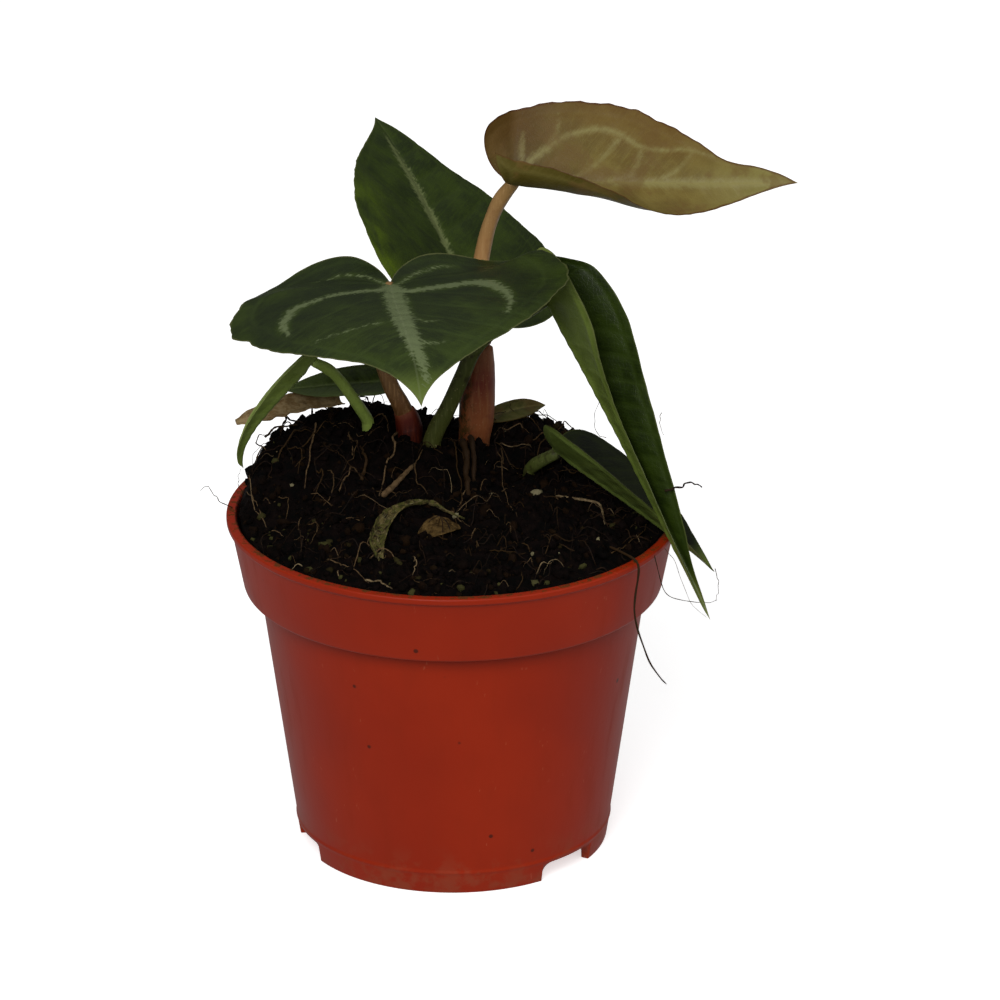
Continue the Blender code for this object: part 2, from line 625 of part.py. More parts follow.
def leaf_values(name):
    leaf = dict(LEAF_DEFAULTS)
    leaf.update(LEAVES[name])
    return leaf


def foot_points(foot):
    """The plumb start of a stem: from its depth in the soil to just above the surface."""
    x, y = foot
    level = float(soil_level(x, y))
    return [(x, y, level - STEM_DEPTH), (x, y, level - STEM_DEPTH / 2), (x, y, level + 0.0012)]


def seated_end(blade_obj, before, target, radius):
    """Where a stalk on its way from before to target stops, one gap short of the blade."""
    mesh = blade_obj.data
    tree = BVHTree.FromPolygons([v.co[:] for v in mesh.vertices], [p.vertices[:] for p in mesh.polygons])
    ahead = Vector(target - before).normalized()
    side = ahead.orthogonal().normalized()
    other = ahead.cross(side)
    spots = [
        share * radius * (math.cos(turn) * side + math.sin(turn) * other) - back * ahead
        for share, back in ((0.0, 0.0), (0.5, 0.0), (1.0, 0.0), (1.0, 0.0010), (1.0, 0.0020))
        for turn in (2 * math.pi * i / 16 for i in range(16))
    ]
    for step in range(120):
        end = Vector(target) - ahead * (0.00005 * step)
        if min(tree.find_nearest(end + spot)[3] for spot in spots) >= GAP + 0.00003:
            break
    return np.array(end)


def stalk(name, leaf_name, blade_obj, finish, parts):
    """A stalk from its foot in the soil to just under the blade where the rib starts."""
    row = STALKS[leaf_name]
    route = [np.array(point) for point in row["route"]]
    target = np.array(LEAVES[leaf_name]["at"])
    route.append(seated_end(blade_obj, route[-1], target, row["top_radius"]))
    if row["foot"]:
        route = [np.array(point) for point in foot_points(row["foot"])] + route
    line = curve_points(route, 2)
    radii = np.linspace(row["foot_radius"], row["top_radius"], len(line))
    return tube(name, line, radii, finish, parts)


def sheath(name, row, finish, parts, sides):
    """A thick sheath: a tube whose radius follows the list, rooted in the soil."""
    route = foot_points(row["foot"]) + list(row["route"])
    line = curve_points(route, 2)
    radii = np.interp(np.linspace(0, 1, len(line)), np.linspace(0, 1, len(row["radii"])), row["radii"])
    return tube(name, line, radii, finish, parts, sides)


def strip(name, route, widths, cup, roll, finish, parts, steps=2, columns=4):
    """A dead leaf: a strip along a route, cupped across like a gutter and rolled about its length."""
    line = curve_points(route, steps)
    half = np.interp(np.linspace(0, 1, len(line)), np.linspace(0, 1, len(widths)), widths)
    forward = np.gradient(line, axis=0)
    forward /= np.linalg.norm(forward, axis=1, keepdims=True)
    left = np.cross((0, 0, 1), forward)
    left /= np.linalg.norm(left, axis=1, keepdims=True)
    up = np.cross(forward, left)
    turn = np.radians(np.linspace(*roll, len(line)))[:, None]
    left, up = np.cos(turn) * left + np.sin(turn) * up, np.cos(turn) * up - np.sin(turn) * left
    across = np.linspace(-1, 1, columns + 1)
    bend = math.radians(cup)
    sideways = np.sin(across * bend) / bend
    lift = (1 - np.cos(across * bend)) / bend
    points = (line[:, None] + (half[:, None] * sideways)[..., None] * left[:, None]
              + (half[:, None] * lift)[..., None] * up[:, None])
    mesh = bpy.data.meshes.new(name)
    bm = bmesh.new()
    grid = [[bm.verts.new(point) for point in row] for row in points]
    for i in range(len(grid) - 1):
        for j in range(columns):
            bm.faces.new((grid[i][j], grid[i + 1][j], grid[i + 1][j + 1], grid[i][j + 1]))
    bmesh.ops.triangulate(bm, faces=bm.faces[:])
    bmesh.ops.recalc_face_normals(bm, faces=bm.faces[:])
    bm.to_mesh(mesh)
    bm.free()
    obj = add_mesh(name, mesh, finish, parts)
    solidify = obj.modifiers.new("thickness", "SOLIDIFY")
    solidify.thickness = BLADE_THICKNESS
    solidify.offset = 0.0
    bpy.context.view_layer.update()
    obj.data = baked(obj)
    obj.modifiers.clear()
    return obj


def rest_on(obj, ground):
    """Moves the object up or down until its lowest clearance over the ground is the gap."""
    mesh = ground.data
    tree = BVHTree.FromPolygons([v.co[:] for v in mesh.vertices], [p.vertices[:] for p in mesh.polygons])
    clear = []
    own = BVHTree.FromPolygons(
        [v.co[:] for v in obj.data.vertices], [p.vertices[:] for p in obj.data.polygons]
    )
    for vert in obj.data.vertices:
        hit = tree.ray_cast(Vector((vert.co.x, vert.co.y, 0.3)), Vector((0, 0, -1)))[0]
        if hit:
            clear.append(vert.co.z - hit.z)
    for vert in mesh.vertices:
        hit = own.ray_cast(Vector((vert.co.x, vert.co.y, 0.0)), Vector((0, 0, 1)))[0]
        if hit:
            clear.append(hit.z - vert.co.z)
    drop = min(clear) - GAP - 0.00005
    for vert in obj.data.vertices:
        vert.co.z -= drop


def stem_holes(soil_obj):
    """Plain round holes in the soil, a gap wider than the stem that stands in each."""
    cutters = new_collection("soil_cutters")
    for name, (x, y), radius in stem_feet():
        level = float(soil_level(x, y))
        hole = cylinder_mesh(
            name, (radius + GAP) / math.cos(math.pi / 12), level - STEM_DEPTH - GAP, level + 0.02, 12,
            (x, y)
        )
        add_cutter("hole_" + name, hole, cutters)
    cut(soil_obj, cutters)


def stand_on_origin(parts):
    """Hangs every part from one empty that puts the box's bottom middle at the origin."""
    low = np.full(3, np.inf)
    high = np.full(3, -np.inf)
    for obj in parts.objects:
        points = np.empty(len(obj.data.vertices) * 3)
        obj.data.vertices.foreach_get("co", points)
        points = points.reshape(-1, 3)
        low, high = np.minimum(low, points.min(0)), np.maximum(high, points.max(0))
    holder = bpy.data.objects.new("anthurium", None)
    parts.objects.link(holder)
    holder.location = (-(low[0] + high[0]) / 2, -(low[1] + high[1]) / 2, -low[2])
    for obj in parts.objects:
        if obj is not holder:
            obj.parent = holder
    print("box", (high - low).round(4), "pot axis at", [round(v, 5) for v in holder.location])


def main():
    clear_scene()
    parts = new_collection("potted_anthurium")
    pot(parts)
    soil_obj = soil(parts)
    sheath("main_stem", MAIN_STEM, "red_sheath", parts, 12)
    sheath("left_crown", LEFT_CROWN, "red_sheath", parts, 10)
    stem_holes(soil_obj)
    blades = {}
    for name in LEAVES:
        finish = {"newest": "bronze_leaf", "front": "dark_leaf", "back": "dark_leaf"}.get(name, "green_leaf")
        blades[name] = blade(name + "_blade", leaf_values(name), finish, parts)
    for name in STALKS:
        finish = "orange_stalk" if name in ("newest", "front") else "green_stalk"
        stalk(name + "_stalk", name, blades[name], finish, parts)
    strip("withered_leaf", WITHERED_ROUTE, WITHERED_WIDTHS, 55, (-25, -40), "dead_leaf", parts)
    curled = strip("curled_dead_leaf", CURLED_ROUTE, CURLED_WIDTHS, 60, (35, 20), "mossy_leaf", parts)
    scrap = strip("dead_leaf_scrap", SCRAP_ROUTE, SCRAP_WIDTHS, 35, (25, 15), "dead_leaf", parts)
    twig_line = curve_points(TWIG["route"], 2)
    twig = tube("twig", twig_line, np.full(len(twig_line), TWIG["radius"]), "twig", parts, 6)
    bent_line = curve_points(BENT_ROOT["route"], 2)
    bent = tube("bent_root", bent_line, np.full(len(bent_line), BENT_ROOT["radius"]), "root", parts, 6)
    rim_line = curve_points(RIM_ROOT["route"], 2)
    tube("rim_root", rim_line, np.full(len(rim_line), RIM_ROOT["radius"]), "root", parts, 6)
    for obj in (blades["old"], curled, scrap, twig, bent):
        rest_on(obj, soil_obj)
    stand_on_origin(parts)


main()
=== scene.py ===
import json
import math

import bmesh
import bpy
import numpy as np
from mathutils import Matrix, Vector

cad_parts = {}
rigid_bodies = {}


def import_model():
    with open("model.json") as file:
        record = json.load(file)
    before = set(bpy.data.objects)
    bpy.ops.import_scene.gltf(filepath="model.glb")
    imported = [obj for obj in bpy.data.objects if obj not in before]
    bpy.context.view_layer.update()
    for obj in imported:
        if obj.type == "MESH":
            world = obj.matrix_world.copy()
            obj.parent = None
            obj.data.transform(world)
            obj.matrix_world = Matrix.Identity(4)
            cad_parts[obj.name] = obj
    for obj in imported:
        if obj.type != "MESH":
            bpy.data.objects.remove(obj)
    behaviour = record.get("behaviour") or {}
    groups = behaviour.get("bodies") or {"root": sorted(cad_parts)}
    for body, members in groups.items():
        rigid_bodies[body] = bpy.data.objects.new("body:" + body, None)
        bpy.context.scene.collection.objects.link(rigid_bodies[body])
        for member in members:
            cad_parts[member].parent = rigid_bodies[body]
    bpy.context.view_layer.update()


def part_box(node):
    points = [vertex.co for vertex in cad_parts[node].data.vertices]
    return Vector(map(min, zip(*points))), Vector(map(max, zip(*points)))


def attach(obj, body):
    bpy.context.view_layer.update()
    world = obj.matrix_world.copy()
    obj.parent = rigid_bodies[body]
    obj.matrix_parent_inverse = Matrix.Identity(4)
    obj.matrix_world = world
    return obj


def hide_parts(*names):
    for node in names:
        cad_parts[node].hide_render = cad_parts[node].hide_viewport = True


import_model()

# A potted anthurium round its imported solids. Everything is worked out in metres from the pot's axis,
# and potAxis carries it into the row's frame when a mesh is made.
potLow, potHigh = (np.array(corner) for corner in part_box("pot"))
potAxis = np.array([(potLow[0] + potHigh[0]) / 2, (potLow[1] + potHigh[1]) / 2, 0.0])
mm = 0.001
draw = np.random.default_rng(11)


def smooth(value, low, high):
    # 0 below low, 1 above high, an S curve between
    t = np.clip((value - low) / (high - low), 0, 1)
    return t * t * (3 - 2 * t)


def curveThrough(points, steps):
    # Catmull-Rom line: each piece is the cubic that leaves a point along its two neighbours
    points = np.array(points, float)
    padded = np.concatenate([[2 * points[0] - points[1]], points, [2 * points[-1] - points[-2]]])
    t = np.linspace(0, 1, steps + 1)[:-1, None]
    before, start, end, after = (padded[k:len(padded) - 3 + k, None] for k in range(4))
    line = 0.5 * (2 * start + (end - before) * t + (2 * before - 5 * start + 4 * end - after) * t**2
                  + (3 * start - before - 3 * end + after) * t**3)
    return np.concatenate([line.reshape(-1, points.shape[1]), points[-1:]])


def spread(values, count):
    # the list of values read at count even places
    return np.interp(np.linspace(0, 1, count), np.linspace(0, 1, len(values)), values)


def latticeNoise(x, y, size, seed):
    # value noise: a random height on every point of a square lattice, blended by S curves
    table = np.random.default_rng(seed).uniform(-1, 1, (256, 256))
    u, v = x / size + 300.0, y / size + 300.0
    i, j = np.floor(u).astype(int), np.floor(v).astype(int)
    s, t = smooth(u - i, 0, 1), smooth(v - j, 0, 1)
    a, b = table[i % 256, j % 256], table[(i + 1) % 256, j % 256]
    c, d = table[i % 256, (j + 1) % 256], table[(i + 1) % 256, (j + 1) % 256]
    return (a * (1 - s) + b * s) * (1 - t) + (c * (1 - s) + d * s) * t


def gridQuads(rows, columns, closeColumns=False, first=0):
    # four corners of every cell of a rows x columns grid of points, turned rows first
    i = np.arange(rows - 1)[:, None]
    j = np.arange(columns if closeColumns else columns - 1)[None]
    after = (j + 1) % columns
    cells = [i * columns + j, (i + 1) * columns + j, (i + 1) * columns + after, i * columns + after]
    return np.stack(cells, -1).reshape(-1, 4) + first


def makePiece(name, points, faces, materials, nodes=(), fields=None, faceMaterial=None,
              merge=0.0, outward=False, crease=60):
    # a mesh piece from whole arrays: points (n, 3) from the pot's axis, faces as index arrays
    mesh = bpy.data.meshes.new(name)
    mesh.from_pydata((points + potAxis).tolist(), [], [f for block in faces for f in block.tolist()])
    for field, values in (fields or {}).items():
        mesh.attributes.new(field, "FLOAT", "POINT").data.foreach_set("value", np.ravel(values).astype(np.float32))
    for material in materials:
        mesh.materials.append(material)
    if faceMaterial is not None:
        mesh.polygons.foreach_set("material_index", faceMaterial)
    if merge or outward:
        bm = bmesh.new()
        bm.from_mesh(mesh)
        if merge:
            bmesh.ops.remove_doubles(bm, verts=bm.verts, dist=merge)
            bmesh.ops.dissolve_degenerate(bm, dist=merge / 2, edges=bm.edges)
        if outward:
            bmesh.ops.recalc_face_normals(bm, faces=bm.faces[:])
        bm.to_mesh(mesh)
        bm.free()
    mesh.shade_smooth()
    mesh.set_sharp_from_angle(angle=math.radians(crease))
    piece = bpy.data.objects.new(name, mesh)
    bpy.context.scene.collection.objects.link(piece)
    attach(piece, "root")
    if nodes:
        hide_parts(*nodes)
    print(name, len(mesh.polygons), "faces")
    return piece


def tubes(lines, radii, sides):
    # circles carried along n lines at once, closed by a point at each end.
    # lines (n, p, 3), radii (n, p) or (n, p, sides); also gives the share along and one shade a tube
    count, steps = lines.shape[:2]
    ahead = np.gradient(lines, axis=1)
    ahead /= np.linalg.norm(ahead, axis=-1, keepdims=True) + 1e-12
    chord = lines[:, -1] - lines[:, 0]
    helper = np.where(np.abs(chord[:, 2:]) > 0.8 * np.linalg.norm(chord, axis=1, keepdims=True),
                      [[0.0, 1.0, 0.0]], [[0.0, 0.0, 1.0]])
    across = np.cross(ahead, helper[:, None])
    across /= np.linalg.norm(across, axis=-1, keepdims=True) + 1e-12
    third = np.cross(ahead, across)
    turn = np.linspace(0, 2 * np.pi, sides, endpoint=False)
    radii = np.broadcast_to(radii[..., None] if np.ndim(radii) == 2 else radii, (count, steps, sides))
    ring = (np.cos(turn)[:, None] * across[:, :, None] + np.sin(turn)[:, None] * third[:, :, None])
    body = lines[:, :, None] + radii[..., None] * ring
    points = np.concatenate([body.reshape(count, -1, 3), lines[:, :1], lines[:, -1:]], 1)
    size = steps * sides + 2
    base = (np.arange(count) * size)[:, None, None]
    quads = (gridQuads(steps, sides, True)[None] + base).reshape(-1, 4)
    j = np.arange(sides)
    after = (j + 1) % sides
    start = np.stack([0 * j + size - 2, j, after], -1)
    end = np.stack([0 * j + size - 1, (steps - 1) * sides + after, (steps - 1) * sides + j], -1)
    caps = (np.concatenate([start, end])[None] + base).reshape(-1, 3)
    along = np.concatenate([np.repeat(np.linspace(0, 1, steps), sides), [0, 1]])
    shades = np.random.default_rng(count).uniform(0, 1, count)
    fields = {"along": np.tile(along, count), "strand": np.repeat(shades, size)}
    return points.reshape(-1, 3), [quads[:, ::-1], caps[:, ::-1]], fields


def paint(red, green, blue, light=0.78):
    # the linear colour that shows as this 0..255 colour under the scene's light, less what reflections add
    values = [value / 255 for value in (red, green, blue)]
    linear = [v / 12.92 if v <= 0.04045 else ((v + 0.055) / 1.055)**2.4 for v in values]
    return (*[min(max(v - haze, v * 0.30) / light, 0.9) for v, haze in zip(linear, (0.002, 0.003, 0.006))], 1.0)


class Wire:
    # a socket that takes part in sums; each operator adds its Math node
    def __init__(self, finish, socket):
        self.finish, self.socket = finish, socket

    def math(self, operation, first, second=0.0):
        return self.finish.node("Math", {"operation": operation}, {0: first, 1: second})

    def __add__(self, other): return self.math("ADD", self, other)
    def __radd__(self, other): return self.math("ADD", other, self)
    def __sub__(self, other): return self.math("SUBTRACT", self, other)
    def __rsub__(self, other): return self.math("SUBTRACT", other, self)
    def __mul__(self, other): return self.math("MULTIPLY", self, other)
    def __rmul__(self, other): return self.math("MULTIPLY", other, self)
    def __pow__(self, other): return self.math("POWER", self, other)
    def size(self): return self.math("ABSOLUTE", self)


class Finish:
    # one material on the Principled shader; sheen, coat and the like are set as plain numbers
    def __init__(self, name, **constants):
        self.material = bpy.data.materials.new(name)
        self.material.use_nodes = True
        self.tree = self.material.node_tree
        self.shader = self.tree.nodes["Principled BSDF"]
        self.color = None
        for socket, value in constants.items():
            self.shader.inputs[socket.replace("_", " ")].default_value = value

    def node(self, kind, settings=None, sockets=None, out=0):
        # any node: its settings come first, then the values or links of its sockets
        made = self.tree.nodes.new("ShaderNode" + kind)
        for key, value in (settings or {}).items():
            if key == "stops":
                ramp = made.color_ramp
                while len(ramp.elements) < len(value):
                    ramp.elements.new(0.5)
                for element, (place, color) in zip(ramp.elements, value):
                    element.position, element.color = place, color
            else:
                setattr(made, key, value)
        for key, value in (sockets or {}).items():
            if isinstance(value, Wire):
                self.tree.links.new(value.socket, made.inputs[key])
            else:
                made.inputs[key].default_value = value
        return Wire(self, made.outputs[out])

    def place(self, scale=(1, 1, 1)):
        # Object coordinates measured from the pot's axis
        shift = tuple(-potAxis * np.array(scale))
        coords = self.node("TexCoord", out="Object")
        return self.node("Mapping", {}, {"Vector": coords, "Location": shift, "Scale": scale})

    def noise(self, where, scale, detail=2.0, rough=0.5):
        return self.node("TexNoise", {}, {"Vector": where, "Scale": scale, "Detail": detail, "Roughness": rough})

    def cells(self, where, scale, feature="DISTANCE_TO_EDGE"):
        return self.node("TexVoronoi", {"feature": feature}, {"Vector": where, "Scale": scale})

    def field(self, name):
        # a number stored on the piece's points
        return self.node("Attribute", {"attribute_name": name}, out="Fac")

    def vector(self, x, y, z=0.0):
        return self.node("CombineXYZ", {}, {0: x, 1: y, 2: z})

    def parts(self, vector):
        made = self.tree.nodes.new("ShaderNodeSeparateXYZ")
        self.tree.links.new(vector.socket, made.inputs[0])
        return [Wire(self, output) for output in made.outputs]

    def step(self, value, low, high, least=0.0, most=1.0):
        # S curve of a value from low to high
        return self.node("MapRange", {"interpolation_type": "SMOOTHSTEP", "clamp": True},
                         {"Value": value, "From Min": low, "From Max": high, "To Min": least, "To Max": most})

    def ramp(self, value, stops):
        # the colour runs through 0..255 shades as the value goes from 0 to 1
        self.color = self.node("ValToRGB", {"stops": [(place, paint(*shade)) for place, shade in stops]}, {0: value})

    def coat(self, share, shade):
        # a share of a 0..255 shade laid over the colour so far
        sockets = {0: share, 6: self.color, 7: paint(*shade)}
        self.color = self.node("Mix", {"data_type": "RGBA", "clamp_factor": True}, sockets, out=2)

    def bump(self, height, distance, strength=1.0):
        return self.node("Bump", {}, {"Height": height, "Distance": distance, "Strength": strength})

    def done(self, roughness=None, normal=None):
        # links or sets what varies over the surface, and hands the material back
        for socket, value in (("Base Color", self.color), ("Roughness", roughness), ("Normal", normal)):
            if isinstance(value, Wire):
                self.tree.links.new(value.socket, self.shader.inputs[socket])
            elif value is not None:
                self.shader.inputs[socket].default_value = value
        return self.material


studio = {
    "target": (12.5, 0.0, 95.5), "distance": 2.0, "elevation": 22.46, "lens": 271.98,   # mm, m, degrees, mm
    "sensor": 36.0, "nearest": 0.1, "farthest": 20.0,   # mm, m, m
    "sky": ((0.0, 0.50), (0.36, 0.50), (0.48, 0.10), (0.66, 0.08), (0.88, 0.50), (1.0, 0.50)),   # from below up
    "backdrop": 1.0, "floorColor": 0.82, "floorRough": 0.7, "floorGloss": 0.1, "floorGlow": 0.60, "floorSize": 4.0,
    "keyPlace": (-0.45, -1.75, 1.35), "keySize": 1.3, "keyPower": 34.0,
    "fillPlace": (1.3, -0.9, 1.1), "fillSize": 2.0, "fillPower": 9.0,
}


def setStudio():
    # a long lens looks down at the target from the photograph's angle; two round lamps and a graded sky light it
    scene = bpy.context.scene
    scene.view_settings.view_transform = "Standard"
    rise = math.radians(studio["elevation"])
    target = np.array(studio["target"]) * mm + potAxis
    camera = bpy.data.objects.new("camera", bpy.data.cameras.new("camera"))
    camera.location = target + studio["distance"] * np.array([0, -math.cos(rise), math.sin(rise)])
    camera.rotation_euler = (math.pi / 2 - rise, 0, 0)
    camera.data.lens = studio["lens"]
    camera.data.sensor_width = studio["sensor"]
    camera.data.clip_start, camera.data.clip_end = studio["nearest"], studio["farthest"]
    scene.collection.objects.link(camera)
    scene.camera = camera

    for name in ("key", "fill"):
        lamp = bpy.data.lights.new(name, "AREA")
        lamp.shape, lamp.size, lamp.energy = "DISK", studio[name + "Size"], studio[name + "Power"]
        holder = bpy.data.objects.new(name, lamp)
        spot = np.array(studio[name + "Place"])
        holder.location = spot
        away = -spot / np.linalg.norm(spot)
        holder.rotation_euler = (math.acos(-away[2]), 0, math.atan2(away[1], away[0]) - math.pi / 2)
        scene.collection.objects.link(holder)

    world = bpy.data.worlds.new("studio")
    scene.world = world
    world.use_nodes = True
    tree = world.node_tree
    sky = tree.nodes["Background"]
    kinds = ("TexCoord", "SeparateXYZ", "MapRange", "ValToRGB")
    coords, split, level, ramp = (tree.nodes.new("ShaderNode" + kind) for kind in kinds)
    level.inputs["From Min"].default_value = -1.0
    for _ in range(len(studio["sky"]) - 2):
        ramp.color_ramp.elements.new(0.5)
    for element, (place, strength) in zip(ramp.color_ramp.elements, studio["sky"]):
        element.position, element.color = place, (strength, strength, strength, 1.0)
    tree.links.new(coords.outputs["Generated"], split.inputs[0])
    tree.links.new(split.outputs["Z"], level.inputs["Value"])
    tree.links.new(level.outputs[0], ramp.inputs[0])
    tree.links.new(ramp.outputs[0], sky.inputs["Color"])
    backdrop = tree.nodes.new("ShaderNodeBackground")
    backdrop.inputs["Strength"].default_value = studio["backdrop"]
    rays = tree.nodes.new("ShaderNodeLightPath")
    either = tree.nodes.new("ShaderNodeMixShader")
    tree.links.new(rays.outputs["Is Camera Ray"], either.inputs[0])
    tree.links.new(sky.outputs[0], either.inputs[1])
    tree.links.new(backdrop.outputs[0], either.inputs[2])
    tree.links.new(either.outputs[0], tree.nodes["World Output"].inputs["Surface"])

    half = studio["floorSize"]
    mesh = bpy.data.meshes.new("floor")
    mesh.from_pydata([(-half, -half, 0), (half, -half, 0), (half, half, 0), (-half, half, 0)], [], [(0, 1, 2, 3)])
    finish = Finish("paleFloor", Roughness=studio["floorRough"], Emission_Strength=studio["floorGlow"],
                    Emission_Color=(1.0, 1.0, 1.0, 1.0), Specular_IOR_Level=studio["floorGloss"])
    finish.color = (*[studio["floorColor"]] * 3, 1.0)
    mesh.materials.append(finish.done())
    floor = bpy.data.objects.new("floor", mesh)
    floor.visible_diffuse = floor.visible_glossy = False   # the sky's lower half gives the light a floor throws up
    scene.collection.objects.link(floor)
    print("studio set")


pot = {
    "height": 0.0924, "rimRadius": 0.0600, "lipHeight": 0.0016, "bandTopRadius": 0.0589,
    "bandFootRadius": 0.0555, "bandHeight": 0.0196, "bodyTopRadius": 0.0514, "bodyFootRadius": 0.0412,
    "wall": 0.0016, "floorLevel": 0.0058, "floorThickness": 0.0018, "ringHeight": 0.0062,
    "notchHeight": 0.0048, "notchAngles": (-42, 78, 198), "notchWidth": 0.0190, "notchCorner": 0.0034,
    "holeRadius": 0.0035, "holeRing": 0.0220, "holes": 6, "steps": 300, "sharpFrom": 38,
    "ringStep": 0.0003, "ringHalf": 0.0008, "skirtWall": 0.0022, "longest": 0.004,
    "plastic": ((127, 32, 8), (134, 35, 10)), "streak": (117, 34, 14), "dust": (120, 62, 45), "grime": (66, 46, 24),
    # the inside wall's dark colour stands for damp dirt and for painted shade
    "specks": (52, 22, 14), "scratches": (156, 78, 58), "dampAndShade": (34, 19, 11), "gloss": 0.17, "rough": 0.42,
}


def innerRadius(level):
    # the inside wall: the band's above the shelf, the body's below it
    bandFoot = pot["height"] - pot["bandHeight"]
    bandFlare = pot["bandTopRadius"] - pot["bandFootRadius"]
    bodyFlare = pot["bodyTopRadius"] - pot["bodyFootRadius"]
    band = pot["bandFootRadius"] + bandFlare * (level - bandFoot) / pot["bandHeight"]
    body = pot["bodyFootRadius"] + bodyFlare * np.minimum(level / bandFoot, 1.0)
    return np.where(level > bandFoot + pot["wall"], band, body) - pot["wall"]


def potProfile():
    # radius and height round the wall; each corner's third number is the reach in mm of the curve that turns it
    bandFoot = pot["height"] - pot["bandHeight"]
    shelf = bandFoot + pot["wall"]
    ring = pot["bodyFootRadius"] + (pot["bodyTopRadius"] - pot["bodyFootRadius"]) * pot["ringHeight"] / bandFoot
    top, foot, floorLevel = pot["height"], pot["bodyFootRadius"], pot["floorLevel"]
    under = floorLevel - pot["floorThickness"]
    corners = [
        (pot["rimRadius"], top, 0.55), (pot["rimRadius"], top - pot["lipHeight"], 0.35),
        (pot["bandTopRadius"], top - pot["lipHeight"] - 0.0007, 0.5), (pot["bandFootRadius"], bandFoot, 0.9),
        (pot["bodyTopRadius"], bandFoot, 0.8), (ring + 0.0001, pot["ringHeight"] + pot["ringHalf"], 0.4),
        (ring + pot["ringStep"], pot["ringHeight"], 0.3), (ring, pot["ringHeight"] - pot["ringHalf"], 0.4),
        (foot, 0.0, 0.35), (foot - pot["skirtWall"], 0.0, 0.35), (foot - pot["skirtWall"], under, 0.4),
        (0.002, under, 0.0), (0.0, under, 0.0), (0.0, floorLevel, 0.0), (0.002, floorLevel, 0.0),
        (float(innerRadius(floorLevel)), floorLevel, 0.5), (float(innerRadius(shelf)), shelf, 0.5),
        (float(innerRadius(shelf + 0.0006)), shelf + 0.0006, 0.3), (float(innerRadius(top)), top, 0.5),
    ]
    line = []
    for k, (radius, height, turned) in enumerate(corners):
        here = np.array([radius, height])
        before = np.array(corners[k - 1][:2])
        after = np.array(corners[(k + 1) % len(corners)][:2])
        if turned == 0.0:
            line.append(here[None])
            continue
        back, ahead = before - here, after - here
        reach = min(turned * mm, 0.42 * np.linalg.norm(back), 0.42 * np.linalg.norm(ahead))
        start = here + back / np.linalg.norm(back) * reach
        end = here + ahead / np.linalg.norm(ahead) * reach
        t = np.linspace(0, 1, 5)[:, None]
        line.append((1 - t)**2 * start + 2 * t * (1 - t) * here + t**2 * end)
    line = np.concatenate(line)
    # long stretches get points in between, so that the wear in the material has something to follow
    out = [line[:1]]
    for start, end in zip(line, line[1:]):
        pieces = max(int(np.linalg.norm(end - start) / pot["longest"]), 1)
        out.append(start + (end - start) * (np.arange(1, pieces + 1) / pieces)[:, None])
    return np.concatenate(out)


def notchLevel(turn):
    # height of the skirt's lower edge round the pot: nothing, or a notch with quarter-round corners
    level = 0 * turn
    for angle in pot["notchAngles"]:
        away = np.abs((turn - math.radians(angle) + np.pi) % (2 * np.pi) - np.pi) * pot["bodyFootRadius"]
        corner = pot["notchCorner"]
        into = np.clip(pot["notchWidth"] / 2 - away, 0, None)
        short = corner - np.minimum(into, corner)
        roof = pot["notchHeight"] - corner + np.sqrt(np.clip(corner**2 - short**2, 0, None))
        level = np.where(into > 0, np.maximum(level, roof), level)
    return level


